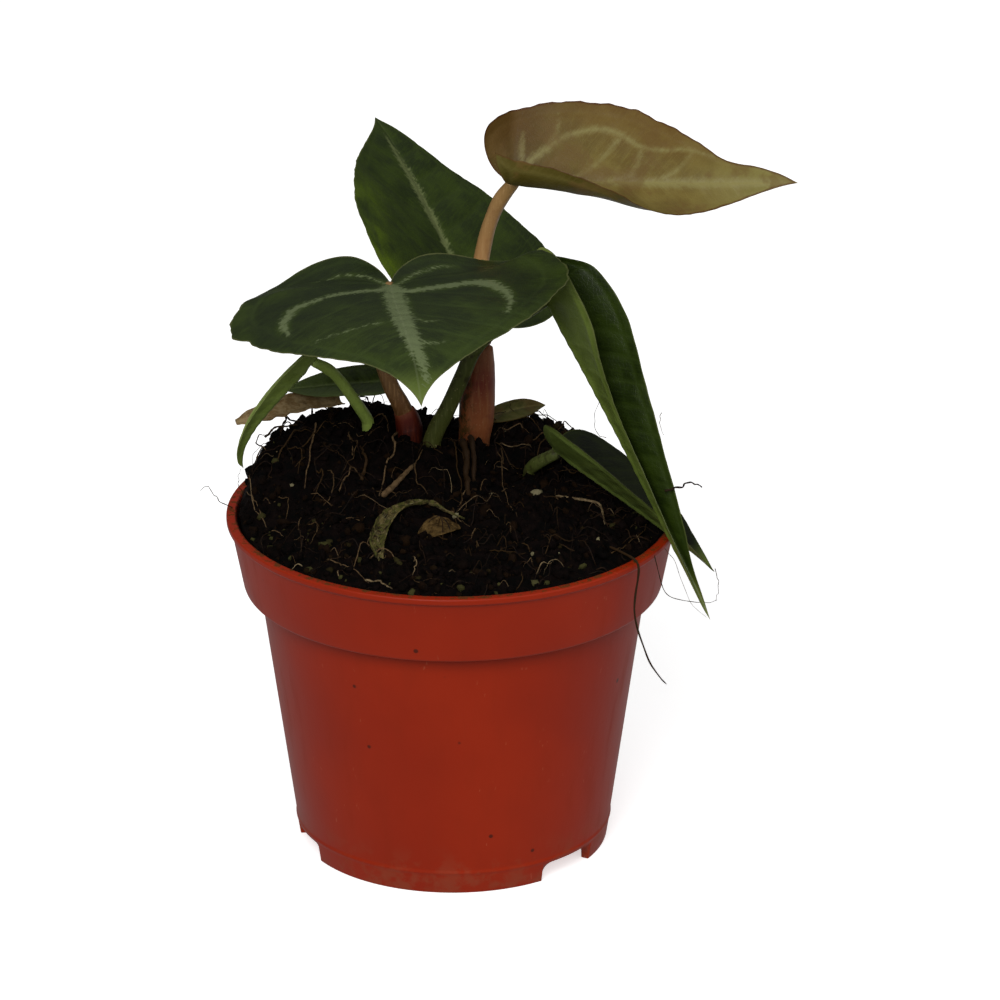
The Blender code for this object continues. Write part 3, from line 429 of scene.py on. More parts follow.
def buildPot():
    # the profile turned about the axis; below the ring, heights are squeezed up to the notch's edge
    line = potProfile()
    turn = np.linspace(0, 2 * np.pi, pot["steps"], endpoint=False)
    edges = []   # extra columns beside the notches
    for angle in pot["notchAngles"]:
        for side in (-1, 1):
            middle = math.radians(angle) + side * pot["notchWidth"] / 2 / pot["bodyFootRadius"]
            for step in (-1e-5, 1e-5, 0.0002, 0.0006, 0.0011, 0.0017, 0.0024):
                edges.append(middle - side * step / pot["bodyFootRadius"])
    turn = np.unique(np.concatenate([turn, np.array(edges) % (2 * np.pi)]))
    radius, height = line[:, 0], line[:, 1]
    notch = notchLevel(turn)[None]
    lift = pot["ringHeight"] - 0.0009
    skirt = (radius > pot["bodyFootRadius"] - pot["skirtWall"] - 0.0001) & (height < lift)
    lowest = np.argmin(np.where(radius > pot["bodyFootRadius"] - 0.0001, height, 1))
    inside = skirt & (np.arange(len(line)) > lowest)
    reach = np.where(inside, pot["floorLevel"] - pot["floorThickness"], lift)[:, None]
    squeezed = notch + height[:, None] * (reach - notch) / reach
    level = np.where(skirt[:, None], squeezed, height[:, None] + 0 * notch)
    points = np.stack([radius[:, None] * np.cos(turn), radius[:, None] * np.sin(turn), level], -1)
    rows, columns = points.shape[:2]
    faces = gridQuads(rows, columns, True)
    close = gridQuads(2, columns, True)
    close = np.where(close < columns, close + (rows - 1) * columns, close - columns)
    piece = makePiece("nursery_pot", points.reshape(-1, 3), [faces[:, ::-1], close[:, ::-1]], [potFinish()],
                      ["pot"], merge=2e-6, outward=True, crease=pot["sharpFrom"])
    cutters = bpy.data.collections.new("drains")
    for k in range(pot["holes"]):
        angle = 2 * math.pi * (k + 0.5) / pot["holes"]
        mesh = bpy.data.meshes.new("drain")
        bm = bmesh.new()
        bmesh.ops.create_cone(bm, cap_ends=True, segments=32, radius1=pot["holeRadius"],
                              radius2=pot["holeRadius"], depth=0.012)
        at = potAxis + [pot["holeRing"] * math.cos(angle), pot["holeRing"] * math.sin(angle), 0.005]
        bmesh.ops.translate(bm, verts=bm.verts, vec=at)
        bm.to_mesh(mesh)
        bm.free()
        cutters.objects.link(bpy.data.objects.new("drain", mesh))
    boolean = piece.modifiers.new("drains", "BOOLEAN")
    boolean.operand_type, boolean.collection, boolean.solver = "COLLECTION", cutters, "EXACT"
    graph = bpy.context.evaluated_depsgraph_get()
    cut = bpy.data.meshes.new_from_object(piece.evaluated_get(graph))
    piece.modifiers.clear()
    piece.data = cut
    cut.shade_smooth()
    cut.set_sharp_from_angle(angle=math.radians(pot["sharpFrom"]))
    for cutter in list(cutters.objects):
        bpy.data.objects.remove(cutter, do_unlink=True)
    bpy.data.collections.remove(cutters)
    print("pot drained", len(cut.polygons))


def potFinish():
    # clouded plastic with streaks, dust, specks and scratches, each a noise cut off by an S curve
    f = Finish("terracottaPlastic", Specular_IOR_Level=pot["gloss"])
    where = f.place()
    x, y, z = f.parts(where)
    radius = (x * x + y * y)**0.5
    cloud = f.noise(where, 28, 3)
    grain = f.noise(where, 900, 2)
    tall = f.noise(f.place((1, 1, 0.16)), 210, 3, 0.6)
    f.color = paint(*pot["plastic"][0])
    f.coat(f.step(cloud, 0.35, 0.68), pot["plastic"][1])
    f.coat(f.step(tall, 0.45, 0.75) * 0.25, pot["streak"])
    # grime on the lip, and dull dusty scuffs near the base
    edge = f.step(z, pot["height"] - 0.0013, pot["height"] - 0.0002)
    foot = f.step(z, 0.016, 0.0, 0.0, 0.5) * f.step(f.noise(where, 160, 4, 0.65), 0.45, 0.62)
    f.coat(foot, pot["dust"])
    dirt = f.step(f.noise(where, 420, 4, 0.7), 0.50, 0.58) * edge * f.step(radius, 0.0600, 0.0590)
    f.coat(dirt * 0.8, pot["grime"])
    # dark specks: the cores of far-apart cells
    spots = f.cells(where, 95, "F1")
    speck = f.step(spots, 0.080, 0.045) * f.step(f.noise(where, 60, 1), 0.48, 0.54)
    f.coat(speck * 0.85, pot["specks"])
    scratch = f.step(f.noise(f.place((1, 1, 0.3)), 800, 2), 0.70, 0.74) * f.step(f.noise(where, 55, 2), 0.54, 0.60)
    f.coat(scratch * 0.4, pot["scratches"])
    # inside the pot the wall is darker, as damp dirt and as painted shade that deepens towards the soil: there the
    # radius is less than the band's own outside
    flare = (pot["bandTopRadius"] - pot["bandFootRadius"]) / pot["bandHeight"]
    outside = pot["bandFootRadius"] + (z - (pot["height"] - pot["bandHeight"])) * flare
    dampAndShade = f.step(radius - outside, -0.0010, -0.0013) * f.step(z, 0.0700, 0.0800)
    # the height term paints shade, darker further below the rim
    sootAndShade = f.step(f.noise(where, 330, 4, 0.7) + (pot["height"] - z) * 60, 0.42, 0.56)
    f.coat(dampAndShade * (0.35 + 0.6 * sootAndShade), pot["dampAndShade"])
    rough = pot["rough"] + f.step(cloud, 0.3, 0.7) * 0.06 + foot * 0.2 + dirt * 0.3 + f.step(tall, 0.5, 0.8) * 0.08
    return f.done(rough, f.bump(grain * 0.6 + tall * 0.8, 0.00006, 0.6))


soil = {
    "edgeLevel": 0.0906, "dome": 0.0070, "shoulder": 0.0050, "depth": 0.012, "gap": 0.0003,
    "rings": 170, "sectors": 330, "crumbs": 2700, "fibres": 360,
    # against the stems: x, y, height, width
    "heaps": ((0.0062, 0.0072, 0.0044, 0.0042), (-0.0066, 0.0020, 0.0026, 0.0040), (0.0215, 0.0030, 0.0012, 0.0040)),
    "hummocks": ((-0.028, 0.028, 0.0130, 0.018), (0.020, 0.030, 0.0085, 0.016), (-0.052, 0.012, 0.0075, 0.014),
                 (-0.010, 0.012, 0.0045, 0.012), (0.014, 0.027, 0.0020, 0.009), (0.032, -0.008, 0.0025, 0.012),
                 (0.020, 0.009, -0.0028, 0.007), (-0.022, -0.020, 0.0020, 0.012)),
    "feet": ((0.0056, 0.0150, 0.0042), (-0.0115, 0.0136, 0.0034), (0.0042, 0.0236, 0.0019), (-0.0055, 0.0085, 0.0022),
             (0.0202, 0.0092, 0.0018), (-0.0225, 0.0150, 0.0019), (-0.0132, 0.0225, 0.0013)),   # x, y, radius
    "lumps": ((0.8, 0.0060), (0.62, 0.0026), (0.36, 0.0012)),   # share of a millimetre, size
    "crumbSize": (0.0004, 0.0013), "fibreReach": 0.054, "fibreStride": (0.0003, 0.0013),
    "fibreRadius": (0.00006, 0.00022), "fibreArch": 0.0045,
    "peat": ((4, 3, 2), (14, 10, 7)), "grit": (32, 24, 16), "crumb": (34, 24, 16), "mossy": (58, 58, 36),
    "pale": (104, 98, 76), "gloss": 0.06, "rough": 0.86,
}


def addHeaps(level, x, y, heaps):
    # each heap adds its height times a Gaussian of the distance from its middle
    for middleX, middleY, height, width in heaps:
        level = level + height * np.exp(-((x - middleX)**2 + (y - middleY)**2) / (2 * width**2))
    return level


def moundLevel(x, y):
    # edge level, a dome that falls with the cube of the radius, hummocks and small waves
    radius = np.hypot(x, y) / innerRadius(pot["height"])
    level = soil["edgeLevel"] + soil["dome"] * (1 - np.clip(radius, 0, 1)**3)
    level = addHeaps(level, x, y, soil["hummocks"])
    waves = (np.sin(x * 620 + 1.3) * np.sin(y * 540 + 0.4) + 0.7 * np.sin(x * 1100 + y * 900)
             + 0.5 * np.sin(x * 400 - y * 1300 + 2.0))
    return level + 0.0006 * np.clip(1.25 - radius, 0, 1) * waves


def soilLevel(x, y):
    # the mound, brought down to the rim at its shoulder and level round each stem
    level = moundLevel(x, y)
    inside = smooth(innerRadius(pot["height"]) - np.hypot(x, y), 0, soil["shoulder"])
    level = level - np.maximum(level - pot["height"] - 0.0006, 0) * (1 - inside)
    for footX, footY, radius in soil["feet"]:
        near = np.exp(-(np.hypot(x - footX, y - footY) / (radius + 0.0035))**4)
        level = level * (1 - near) + (moundLevel(footX, footY) - 0.0006) * near
    return level


def roughSoil(x, y):
    # the soil's level with three sizes of lumps, calmer at the wall, and a heap against each stem
    calm = 0.35 + 0.65 * smooth(innerRadius(pot["height"]) - np.hypot(x, y), 0.0, 0.004)
    (large, largeSize), (middle, middleSize), (small, smallSize) = soil["lumps"]
    lumps = (large * latticeNoise(x, y, largeSize, 3) + middle * np.abs(latticeNoise(x, y, middleSize, 4))
             + small * latticeNoise(x, y, smallSize, 5))
    return addHeaps(soilLevel(x, y) + mm * calm * (lumps - 0.15), x, y, soil["heaps"])


def buildSoil():
    # rings of the rough level out to the wall, then the wall's own taper down to the floor
    outer = float(innerRadius(soil["edgeLevel"] - 0.003)) - soil["gap"] * 0.3
    shares = np.linspace(0, 1, soil["rings"])**0.9
    turn = np.linspace(0, 2 * np.pi, soil["sectors"], endpoint=False)
    radius = outer * shares[:, None]
    x, y = radius * np.cos(turn), radius * np.sin(turn)
    top = np.stack([x, y, roughSoil(x, y)], -1)
    shelf = pot["height"] - pot["bandHeight"] + pot["wall"]
    lower = []
    for level in (soil["edgeLevel"] - 0.0045, shelf + 0.0010, shelf + 0.0003, pot["floorLevel"] + 0.0003):
        at = float(innerRadius(level - 0.0003)) - soil["gap"]
        lower.append(np.stack([at * np.cos(turn), at * np.sin(turn), level + 0 * turn], -1))
    lower.append(np.stack([0 * turn, 0 * turn, pot["floorLevel"] + 0.0003 + 0 * turn], -1))
    points = np.concatenate([top, np.array(lower)])
    rows, columns = points.shape[:2]
    makePiece("potting_soil", points.reshape(-1, 3), [gridQuads(rows, columns, True)], [soilFinish()],
              ["soil"], merge=1e-6, outward=True, crease=180)


def soilFinish(name="darkPeat", crumbs=False):
    # two dark browns mixed by noise, with lighter grit; crumbs also differ one by one, and some are mossy near the rim
    f = Finish(name, Specular_IOR_Level=soil["gloss"])
    where = f.place()
    fine = f.noise(where, 1500, 4, 0.7)
    lumps = f.noise(where, 330, 3, 0.6)
    f.color = paint(*soil["peat"][0])
    f.coat(f.step(lumps, 0.36, 0.64), soil["peat"][1])
    f.coat(f.step(fine, 0.58, 0.72) * 0.7, soil["grit"])
    if crumbs:
        shade = f.field("strand")
        x, y, _ = f.parts(where)
        mossy = f.step((x * x + y * y)**0.5 + (f.noise(where, 40, 2) - 0.5) * 0.02, 0.036, 0.050)
        f.coat(f.step(shade, 0.6, 1.0) * 0.5, soil["crumb"])
        f.coat(f.step(shade, 0.90, 0.97) * 0.8 * mossy, soil["mossy"])
        f.coat(f.step(shade, 0.9955, 0.9965), soil["pale"])
    return f.done(soil["rough"] - f.step(lumps, 0.5, 0.7) * 0.2, f.bump(fine + lumps * 0.6, 0.0005, 0.9))


def buildCrumbs():
    # octahedra with each edge halved, pushed in and out point by point, squashed, turned and strewn
    count = soil["crumbs"]
    axes = np.concatenate([np.eye(3), -np.eye(3)])
    edges = [(a, b) for a in range(6) for b in range(a + 1, 6) if b - a != 3]
    ball = np.concatenate([axes, np.array([axes[a] + axes[b] for a, b in edges]) / math.sqrt(2)])
    pairs = {edge: 6 + k for k, edge in enumerate(edges)}
    faces = []
    for a in (0, 3):
        for b in (1, 4):
            for c in (2, 5):
                ab, bc, ac = (pairs[tuple(sorted(edge))] for edge in ((a, b), (b, c), (a, c)))
                block = [(a, ab, ac), (ab, b, bc), (ac, bc, c), (ab, bc, ac)]
                flip = np.linalg.det(np.stack([axes[a], axes[b], axes[c]])) < 0
                faces += [tri[::-1] if flip else tri for tri in block]
    angle = draw.uniform(0, 2 * np.pi, count)
    radius = innerRadius(pot["height"]) * np.sqrt(draw.uniform(0, 1, count)) * 0.985
    x, y = radius * np.cos(angle), radius * np.sin(angle)
    least, extra = soil["crumbSize"]
    size = least + extra * draw.uniform(0, 1, count)**2.6
    shape = ball[None] * draw.uniform(0.65, 1.25, (count, len(ball), 1))
    shape = shape * draw.uniform(0.55, 1.35, (count, 1, 3)) * size[:, None, None]
    turn = np.linalg.qr(draw.normal(size=(count, 3, 3)))[0]
    turn *= np.sign(np.linalg.det(turn))[:, None, None]
    shape = shape @ turn
    wall = innerRadius(pot["height"]) - 0.0006
    keep = np.minimum(1, (wall - size) / np.maximum(radius, 1e-6))
    x, y = x * keep, y * keep
    base = np.stack([x, y, roughSoil(x, y) + size * 0.25], -1)
    points = (shape + base[:, None]).reshape(-1, 3)
    tris = (np.array(faces)[None] + (np.arange(count) * len(ball))[:, None, None]).reshape(-1, 3)
    strand = np.repeat(draw.uniform(0, 1, count), len(ball))
    makePiece("soil_crumbs", points, [tris], [soilFinish("peatCrumbs", True)],
              fields={"strand": strand}, crease=180)


def buildFibres():
    # short fine roots: each a wandering line over the soil with an arch of its own, all made at once
    count, steps = soil["fibres"], 12
    angle = draw.uniform(0, 2 * np.pi, count)
    radius = soil["fibreReach"] * np.sqrt(draw.uniform(0, 1, count))
    heading = draw.uniform(0, 2 * np.pi, (count, 1)) + np.cumsum(draw.normal(0, 0.28, (count, steps)), 1)
    stride = draw.uniform(*soil["fibreStride"], (count, 1))
    x = radius[:, None] * np.cos(angle)[:, None] + np.cumsum(stride * np.cos(heading), 1)
    y = radius[:, None] * np.sin(angle)[:, None] + np.cumsum(stride * np.sin(heading), 1)
    shrink = np.minimum(1, 0.0560 / np.hypot(x, y))
    x, y = x * shrink, y * shrink
    t = np.linspace(0, 1, steps)
    arch = draw.uniform(0, 1, (count, 1))**3 * soil["fibreArch"] * np.sin(np.pi * t)
    arch = arch + 0.0005 * np.sin(t * 9 + angle[:, None])
    lines = np.stack([x, y, roughSoil(x, y) + 0.0003 + arch - 0.0008 * (t > 0.95)], -1)
    radii = draw.uniform(*soil["fibreRadius"], (count, 1)) * (1 - 0.6 * t)
    points, faces, fields = tubes(lines, radii, 4)
    makePiece("fine_roots", points, faces, [rootFinish("fineRoot")], fields=fields, crease=180)


roots = {   # colours from a dark root to a pale one, by shade, then of patches and of the thin end
    "shades": ((0.0, (12, 9, 6)), (0.5, (26, 18, 12)), (0.8, (48, 35, 23)), (0.94, (92, 74, 54)),
               (1.0, (122, 108, 82))),
    "patch": (38, 27, 18), "end": (24, 17, 12), "gloss": 0.15, "rough": 0.75,
}


def rootFinish(name, shade=None):
    # the shade, one number or the piece's own by strand, picks the colour; noise and the thin end darken it
    f = Finish(name, Specular_IOR_Level=roots["gloss"])
    where = f.place()
    shade, along = f.field("strand") if shade is None else shade, f.field("along")
    patch = f.noise(where, 700, 3, 0.6)
    f.ramp(shade, roots["shades"])
    f.coat(f.step(patch, 0.42, 0.62) * 0.6, roots["patch"])
    f.coat(f.step(along, 0.8, 1.0) * 0.5, roots["end"])
    return f.done(roots["rough"], f.bump(patch, 0.0001))


# angles in degrees, lengths in metres; left and right are half widths, trims are (share of the outline, factor)
leafDefaults = dict(
    roll=0.0, bend=0.0, droop=0.0, droopPower=1.0, twist=0.0, widest=0.15, lobeMiddle=0.45, fullness=1.6, drip=0.0,
    foldLeft=0.0, foldRight=0.0, foldTip=0.0, curlLeft=0.0, curlRight=0.0, curlTip=0.0, lobeLift=0.0, lobeFold=0.0,
    rows=90, columns=26, laterals=5, thickness=0.0005, scallop=0.0011, scalloping=0.006, ribWidth=(0.6, 0.15),
    groove=0.00022, grooveWidth=0.0010, quilt=0.00016, quiltLine=0.0007, quiltReach=0.0022, wave=0.0002,
    waveLength=0.0031, lumps=0.00035, lumpSize=0.009, ribDepth=0.0005, ribSoft=0.0009, thinEdge=0.28, swells=(),
)
# shares of the outline: round the lobe, on to the widest place, and on to the tip
lobeShare, shoulderShare, tipShare = 0.16, 0.20, 0.64
leaves = {
    "front": dict(
        at=(-0.0161, 0.0010, 0.1560), heading=-85.9, pitch=5.1, roll=2.4, bend=7.3, droop=63.9, droopPower=4,
        twist=0.5, length=0.0692, left=0.0454, right=0.0432, lobe=0.0164, widest=0.28, lobeMiddle=0.3,
        fullness=1.37, drip=0.75, foldLeft=1, foldRight=7.3, foldTip=-12.7, curlLeft=14.9, curlRight=-23.6,
        lobeLift=41.2, lobeFold=-10.9, rows=210, columns=64, laterals=5, scallop=0.0016, scalloping=0.009,
        trimLeft=((0, 1), (0.24, 1), (0.31, 1.03), (0.38, 1), (1, 1)),
        swells=((-0.0020, 0.0370, 0.0017, 0.0055), (-0.0100, 0.0230, -0.0012, 0.0060)),
        trimRight=((0, 1), (0.27, 1), (0.325, 1.035), (0.36, 1.0), (0.41, 0.945), (0.48, 0.96), (0.6, 1), (0.72, 0.96),
                   (0.80, 0.90), (0.88, 0.90), (0.94, 0.95), (1, 1))),
    "back": dict(
        at=(0.0032, 0.0370, 0.1394), heading=114.9, pitch=42.7, roll=11.4, bend=6.1, droop=18.9, twist=-1.1,
        length=0.0625, left=0.0399, right=0.0377, lobe=0.0107, widest=0.15, lobeMiddle=0.39, fullness=1.82,
        drip=0.52, foldLeft=22.6, foldRight=-3.8, foldTip=-7.8, curlLeft=7.6, curlRight=-8.1, lobeLift=-8.6,
        rows=170, columns=56, laterals=5,
        trimRight=((0, 1), (0.8, 1), (0.88, 1.12), (0.94, 1.5), (0.975, 1.9), (1, 1))),
    "newest": dict(
        at=(0.0165, 0.0140, 0.1803), heading=1.9, pitch=-2.5, roll=1.7, bend=2.1, droop=-2, twist=39.5,
        length=0.0744, left=0.0232, right=0.0176, lobe=0.0087, widest=0.36, lobeMiddle=0.50, fullness=1.0,
        drip=0.55, foldLeft=46, foldRight=-6, foldTip=-34.5, curlLeft=18.7, curlRight=108, curlTip=-61,
        lobeFold=29, rows=200, columns=60, laterals=6, lobeRight=0.0062, lobeMiddleRight=0.86, lobeSlantRight=7,
        scallop=0.0014, scalloping=0.012,
        trimRight=((0, 1), (0.10, 0.86), (0.2, 0.88), (0.36, 1.05), (0.5, 1), (1, 1)),
        trimLeft=((0, 1), (0.30, 1), (0.37, 0.95), (0.44, 1.03), (0.58, 1.05), (0.68, 0.97), (0.74, 0.80), (0.79, 0.86),
                  (0.84, 1.10), (0.90, 1.45), (0.96, 2.1), (1, 2.6))),
    "right": dict(
        at=(0.0249, 0.0072, 0.1496), heading=-46, pitch=-46.3, roll=-3.3, bend=-1.2, droop=6.3, twist=27.4,
        length=0.0952, left=0.0187, right=0.0204, lobe=0.0163, widest=0.17, lobeMiddle=0.3, fullness=1, drip=0.01,
        foldLeft=64.6, foldRight=67.5, foldTip=-1.3, curlLeft=0.8, curlRight=7.1, lobeLift=42.5, lobeFold=12.5,
        rows=200, columns=44, laterals=9, lobeLeft=0.0120, scallop=0.0030,
        trimLeft=((0, 1), (0.30, 0.98), (0.45, 0.95), (0.7, 0.94), (0.82, 0.92), (0.88, 0.66), (0.94, 0.48), (1, 0.4)),
        trimRight=((0, 1), (0.36, 0.95), (0.42, 0.80), (0.5, 0.64), (0.58, 0.56), (0.66, 0.62), (0.8, 0.68),
                   (0.88, 0.52), (0.94, 0.44), (1, 0.4))),
    "low_right": dict(
        at=(0.0280, 0.0032, 0.1079), heading=-35.1, pitch=-21.5, roll=-8, bend=4.6, droop=15.5, droopPower=3,
        twist=5, length=0.0540, left=0.0140, right=0.0187, lobe=0.0035, widest=0.05, fullness=1.8, foldLeft=16,
        foldRight=36.1, foldTip=0.7, curlLeft=-2.4, curlRight=9.1, lobeFold=2.5, rows=120, columns=36, laterals=7,
        trim=((0, 1), (0.8, 1), (0.9, 0.8), (1, 0.65))),
    "left": dict(
        at=(-0.0370, 0.0013, 0.1345), heading=198, pitch=-43.6, roll=7.9, bend=-8.3, droop=58, droopPower=3.5,
        twist=-7.9, length=0.0357, left=0.0103, right=0.0084, lobe=0.0041, widest=0.22, fullness=1.0,
        foldLeft=50, foldRight=32, foldTip=-11.9, rows=110, columns=30,
        trim=((0, 0.5), (0.36, 0.5), (0.6, 0.7), (0.8, 1.0), (0.92, 1.8), (0.97, 2.6), (1, 1))),
    "low_left": dict(
        at=(-0.0183, 0.0230, 0.1203), heading=181.8, pitch=-1.6, roll=-7.8, bend=-8.2, droop=9, twist=-10.3,
        length=0.0274, left=0.0091, right=0.0056, lobe=0.0037, widest=0.11, fullness=2.0, foldLeft=5.4,
        foldRight=25, rows=100, columns=28),
    "old": dict(
        at=(0.0110, 0.0273, 0.1090), heading=12, pitch=16, roll=13.3, droop=17, length=0.0142, left=0.0035,
        right=0.0050, lobe=0.0020, widest=0.30, fullness=2.4, foldLeft=8.6, foldRight=3.9, rows=60, columns=18,
        laterals=3),
}
# marks seen on the big leaves: routes in flat leaf millimetres (along the rib, across to the left), half widths
silverRoutes = {
    "front": [
        ([(1, 0), (11, 0.1), (23, 0.2), (35, 0.4), (47, 1.0), (55, 1.8), (61.7, 2.2), (65, 2.4)],
         [1.7, 2.6, 2.7, 2.5, 2.0, 1.3, 0.5, -0.6]),
        ([(1.5, -0.8), (6.2, -3.1), (6.9, -7.1), (7.8, -11.7), (8.4, -15), (9.9, -18.8), (11.2, -22.4), (13.2, -26.1),
          (17.1, -28.3), (22.5, -30.1), (27.2, -29.1)], [0.9, 1.3, 1.1, 0.9, 0.8, 0.8, 0.9, 1.1, 1.2, 0.9, 0.2]),
        ([(2, 0.8), (7.8, 2.9), (8.2, 9.1), (8.1, 15.4), (8.7, 21.5), (11.0, 24.2), (15.8, 27.3), (21.8, 29),
          (28.1, 29), (32.3, 27.9), (35.3, 26.2)], [1.0, 1.5, 1.3, 1.8, 1.8, 1.9, 1.4, 0.9, 0.6, 0.3, -0.1]),
        ([(0, 0), (-1.2, -1.7), (-5.7, -5.6), (-7.7, -9.7), (-8.4, -12.8), (-7, -15.8), (-6.3, -20.4)],
         [0.2, 0.2, 0.1, 0.1, 0.0, -0.2, -0.6]),
        ([(0, 0), (-0.8, 2.6), (-5.9, 5.9), (-8.9, 10), (-11.1, 13.6), (-11.2, 18.1)], [0.2, 0.1, 0.2, 0.3, 0.0, -0.4]),
        ([(33, -5.8), (34.5, -12.3), (36.7, -22.6)], [-0.1, -0.1, 0.0]),
        ([(29, 1.5), (34.4, 5.8), (34.1, 9.5)], [0.2, 0.1, -0.1]),
        ([(47, 3), (47.5, 5.8), (47.2, 9)], [0.4, 0.1, -0.2]),
    ],
    "back": [
        ([(8, -0.4), (14, 0), (26, 1), (40, 1.4), (50, 1.6), (56, 1.7)], [-0.1, 0.9, 1.7, 1.5, 0.9, -0.3]),
    ],
    "newest": [
        ([(16, 0), (27, 0), (50, 0), (72, 0)], [0.3, 1.1, 1.3, 0.5]),
        ([(2, 2), (3.8, 5.4), (8.6, 9.3), (12.2, 12.1), (16, 13.6), (19.6, 14.6), (23.5, 14.9), (28.3, 13.5),
          (33.1, 10.2), (39.6, 9.4), (46, 9.6), (56, 6.5)],
         [0.3, 0.8, 0.8, 0.6, 0.6, 0.7, 0.6, 0.5, 0.5, 0.4, 0.3, -0.3]),
        ([(14, 1), (20.2, 4), (27.1, 12)], [-0.1, 0.3, 0.4]), ([(24, 0.5), (30.2, 1.9), (33.5, 9.4)], [0.6, 0.6, 0.3]),
        ([(38, 0.5), (43, 4), (47, 9)], [0.6, 0.2, 0.0]), ([(8.6, 9.3), (11, 15), (11.2, 19)], [0.4, 0.2, -0.2]),
        ([(2, 4), (1.5, 9), (2, 13)], [0.3, 0.4, -0.1]),
    ],
}


def leafValues(name):
    # the leaf's own values over the common ones
    return {**leafDefaults, **leaves[name]}


def easedLobe(share):
    # the share of the lobe behind the stalk, started softly so that the blade has no crease there
    share = np.clip(share, 0, 1.1)
    return 1.25 * share * share / (share + 0.25)


def ribFrames(leaf, along):
    # the rib leaves the stalk with its heading and pitch; the pitch falls by droop times the share of the
    # length to a power, and lobeLift changes it behind the stalk. Gives place, forward, left and up.
    length, lobe = leaf["length"], leaf["lobe"]
    table = np.concatenate([np.linspace(-1.2 * lobe, 0, 20)[:-1], np.linspace(0, length, 60)])
    ahead = np.clip(table / length, 1e-6, 1)
    behind = easedLobe(-table / lobe)
    turn = np.radians(leaf["heading"] + leaf["bend"] * ahead)
    rise = np.radians(leaf["pitch"] - leaf["droop"] * ahead**leaf["droopPower"] - leaf["lobeLift"] * behind)
    forward = np.stack([np.cos(rise) * np.cos(turn), np.cos(rise) * np.sin(turn), np.sin(rise)], -1)
    steps = (forward[1:] + forward[:-1]) / 2 * np.diff(table)[:, None]
    points = np.concatenate([np.zeros((1, 3)), np.cumsum(steps, 0)])
    points = points - points[19] + np.array(leaf["at"])
    place = np.stack([np.interp(along, table, points[:, k]) for k in range(3)], -1)
    forward = np.stack([np.interp(along, table, forward[:, k]) for k in range(3)], -1)
    forward /= np.linalg.norm(forward, axis=-1, keepdims=True)
    turn = np.interp(along, table, turn)
    left = np.stack([-np.sin(turn), np.cos(turn), 0 * turn], -1)
    up = np.cross(forward, left)
    roll = np.radians(leaf["roll"] + leaf["twist"] * np.clip(along / length, 0, 1))[..., None]
    return place, forward, np.cos(roll) * left + np.sin(roll) * up, np.cos(roll) * up - np.sin(roll) * left


def bladeSheet(leaf, along, across, lift):
    # flat leaf coordinates carried to the folded, curled blade; lift and swells move a point along its normal
    place, _, left, up = ribFrames(leaf, along)
    ahead, behind = np.clip(along / leaf["length"], 0, 1), easedLobe(-along / leaf["lobe"])
    onLeft = across >= 0
    width, side = np.where(onLeft, leaf["left"], leaf["right"]), np.where(onLeft, 1.0, -1.0)
    fold = np.where(onLeft, leaf["foldLeft"], leaf["foldRight"]) + leaf["foldTip"] * ahead + leaf["lobeFold"] * behind
    curl = np.where(onLeft, leaf["curlLeft"], leaf["curlRight"]) + leaf["curlTip"] * ahead
    reach = np.abs(across)
    eased = 1 - np.exp(-reach / 0.0007)
    angle = np.radians(fold + curl * reach / (2 * width)) * eased
    normal = np.cos(angle)[..., None] * up - (side * np.sin(angle))[..., None] * left
    return place + (side * reach * np.cos(angle))[..., None] * left + (reach * np.sin(angle))[..., None] * up \
        + (lift + addHeaps(0 * along, along, across, leaf["swells"]))[..., None] * normal, normal


def sideValue(leaf, key, side, otherwise=None):
    # a value that may be given for one half of the leaf
    return leaf.get(key + ("Left" if side > 0 else "Right"), leaf.get(key, otherwise))


def halfOutline(leaf, share, side):
    # the plain outline with its joins rounded by a running mean, then trimmed and scalloped
    fine = np.linspace(0, 1, 901)
    along, across, rib = plainOutline(leaf, fine, side)
    kernel = np.exp(-np.linspace(-2, 2, 61)**2)
    kernel /= kernel.sum()
    widest = lobeShare + shoulderShare
    near = np.clip(np.exp(-((fine - widest) / 0.07)**2) + np.exp(-((fine - lobeShare) / 0.05)**2), 0, 1)

    def rounded(values):
        return np.convolve(np.pad(values, 30, "edge"), kernel, "valid")

    along = along + near * (rounded(along) - along)
    across = across + near * (rounded(across) - across)
    trim = sideValue(leaf, "trim", side)
    if trim:
        across = across * rounded(np.interp(fine, *np.array(trim).T))
    path = np.concatenate([[0], np.cumsum(np.hypot(np.diff(along), np.diff(across)))])
    scallop = 0.6 * np.sin(path / leaf["scallop"] + side) + 0.4 * np.sin(path / leaf["scallop"] * 2.3 + 2.0)
    calm = smooth(fine, 0.02, 0.12) * smooth(1 - fine, 0.0, 0.1)
    across = across * (1 + leaf["scalloping"] * calm * scallop)
    return tuple(np.interp(share, fine, values) for values in (along, across, rib))


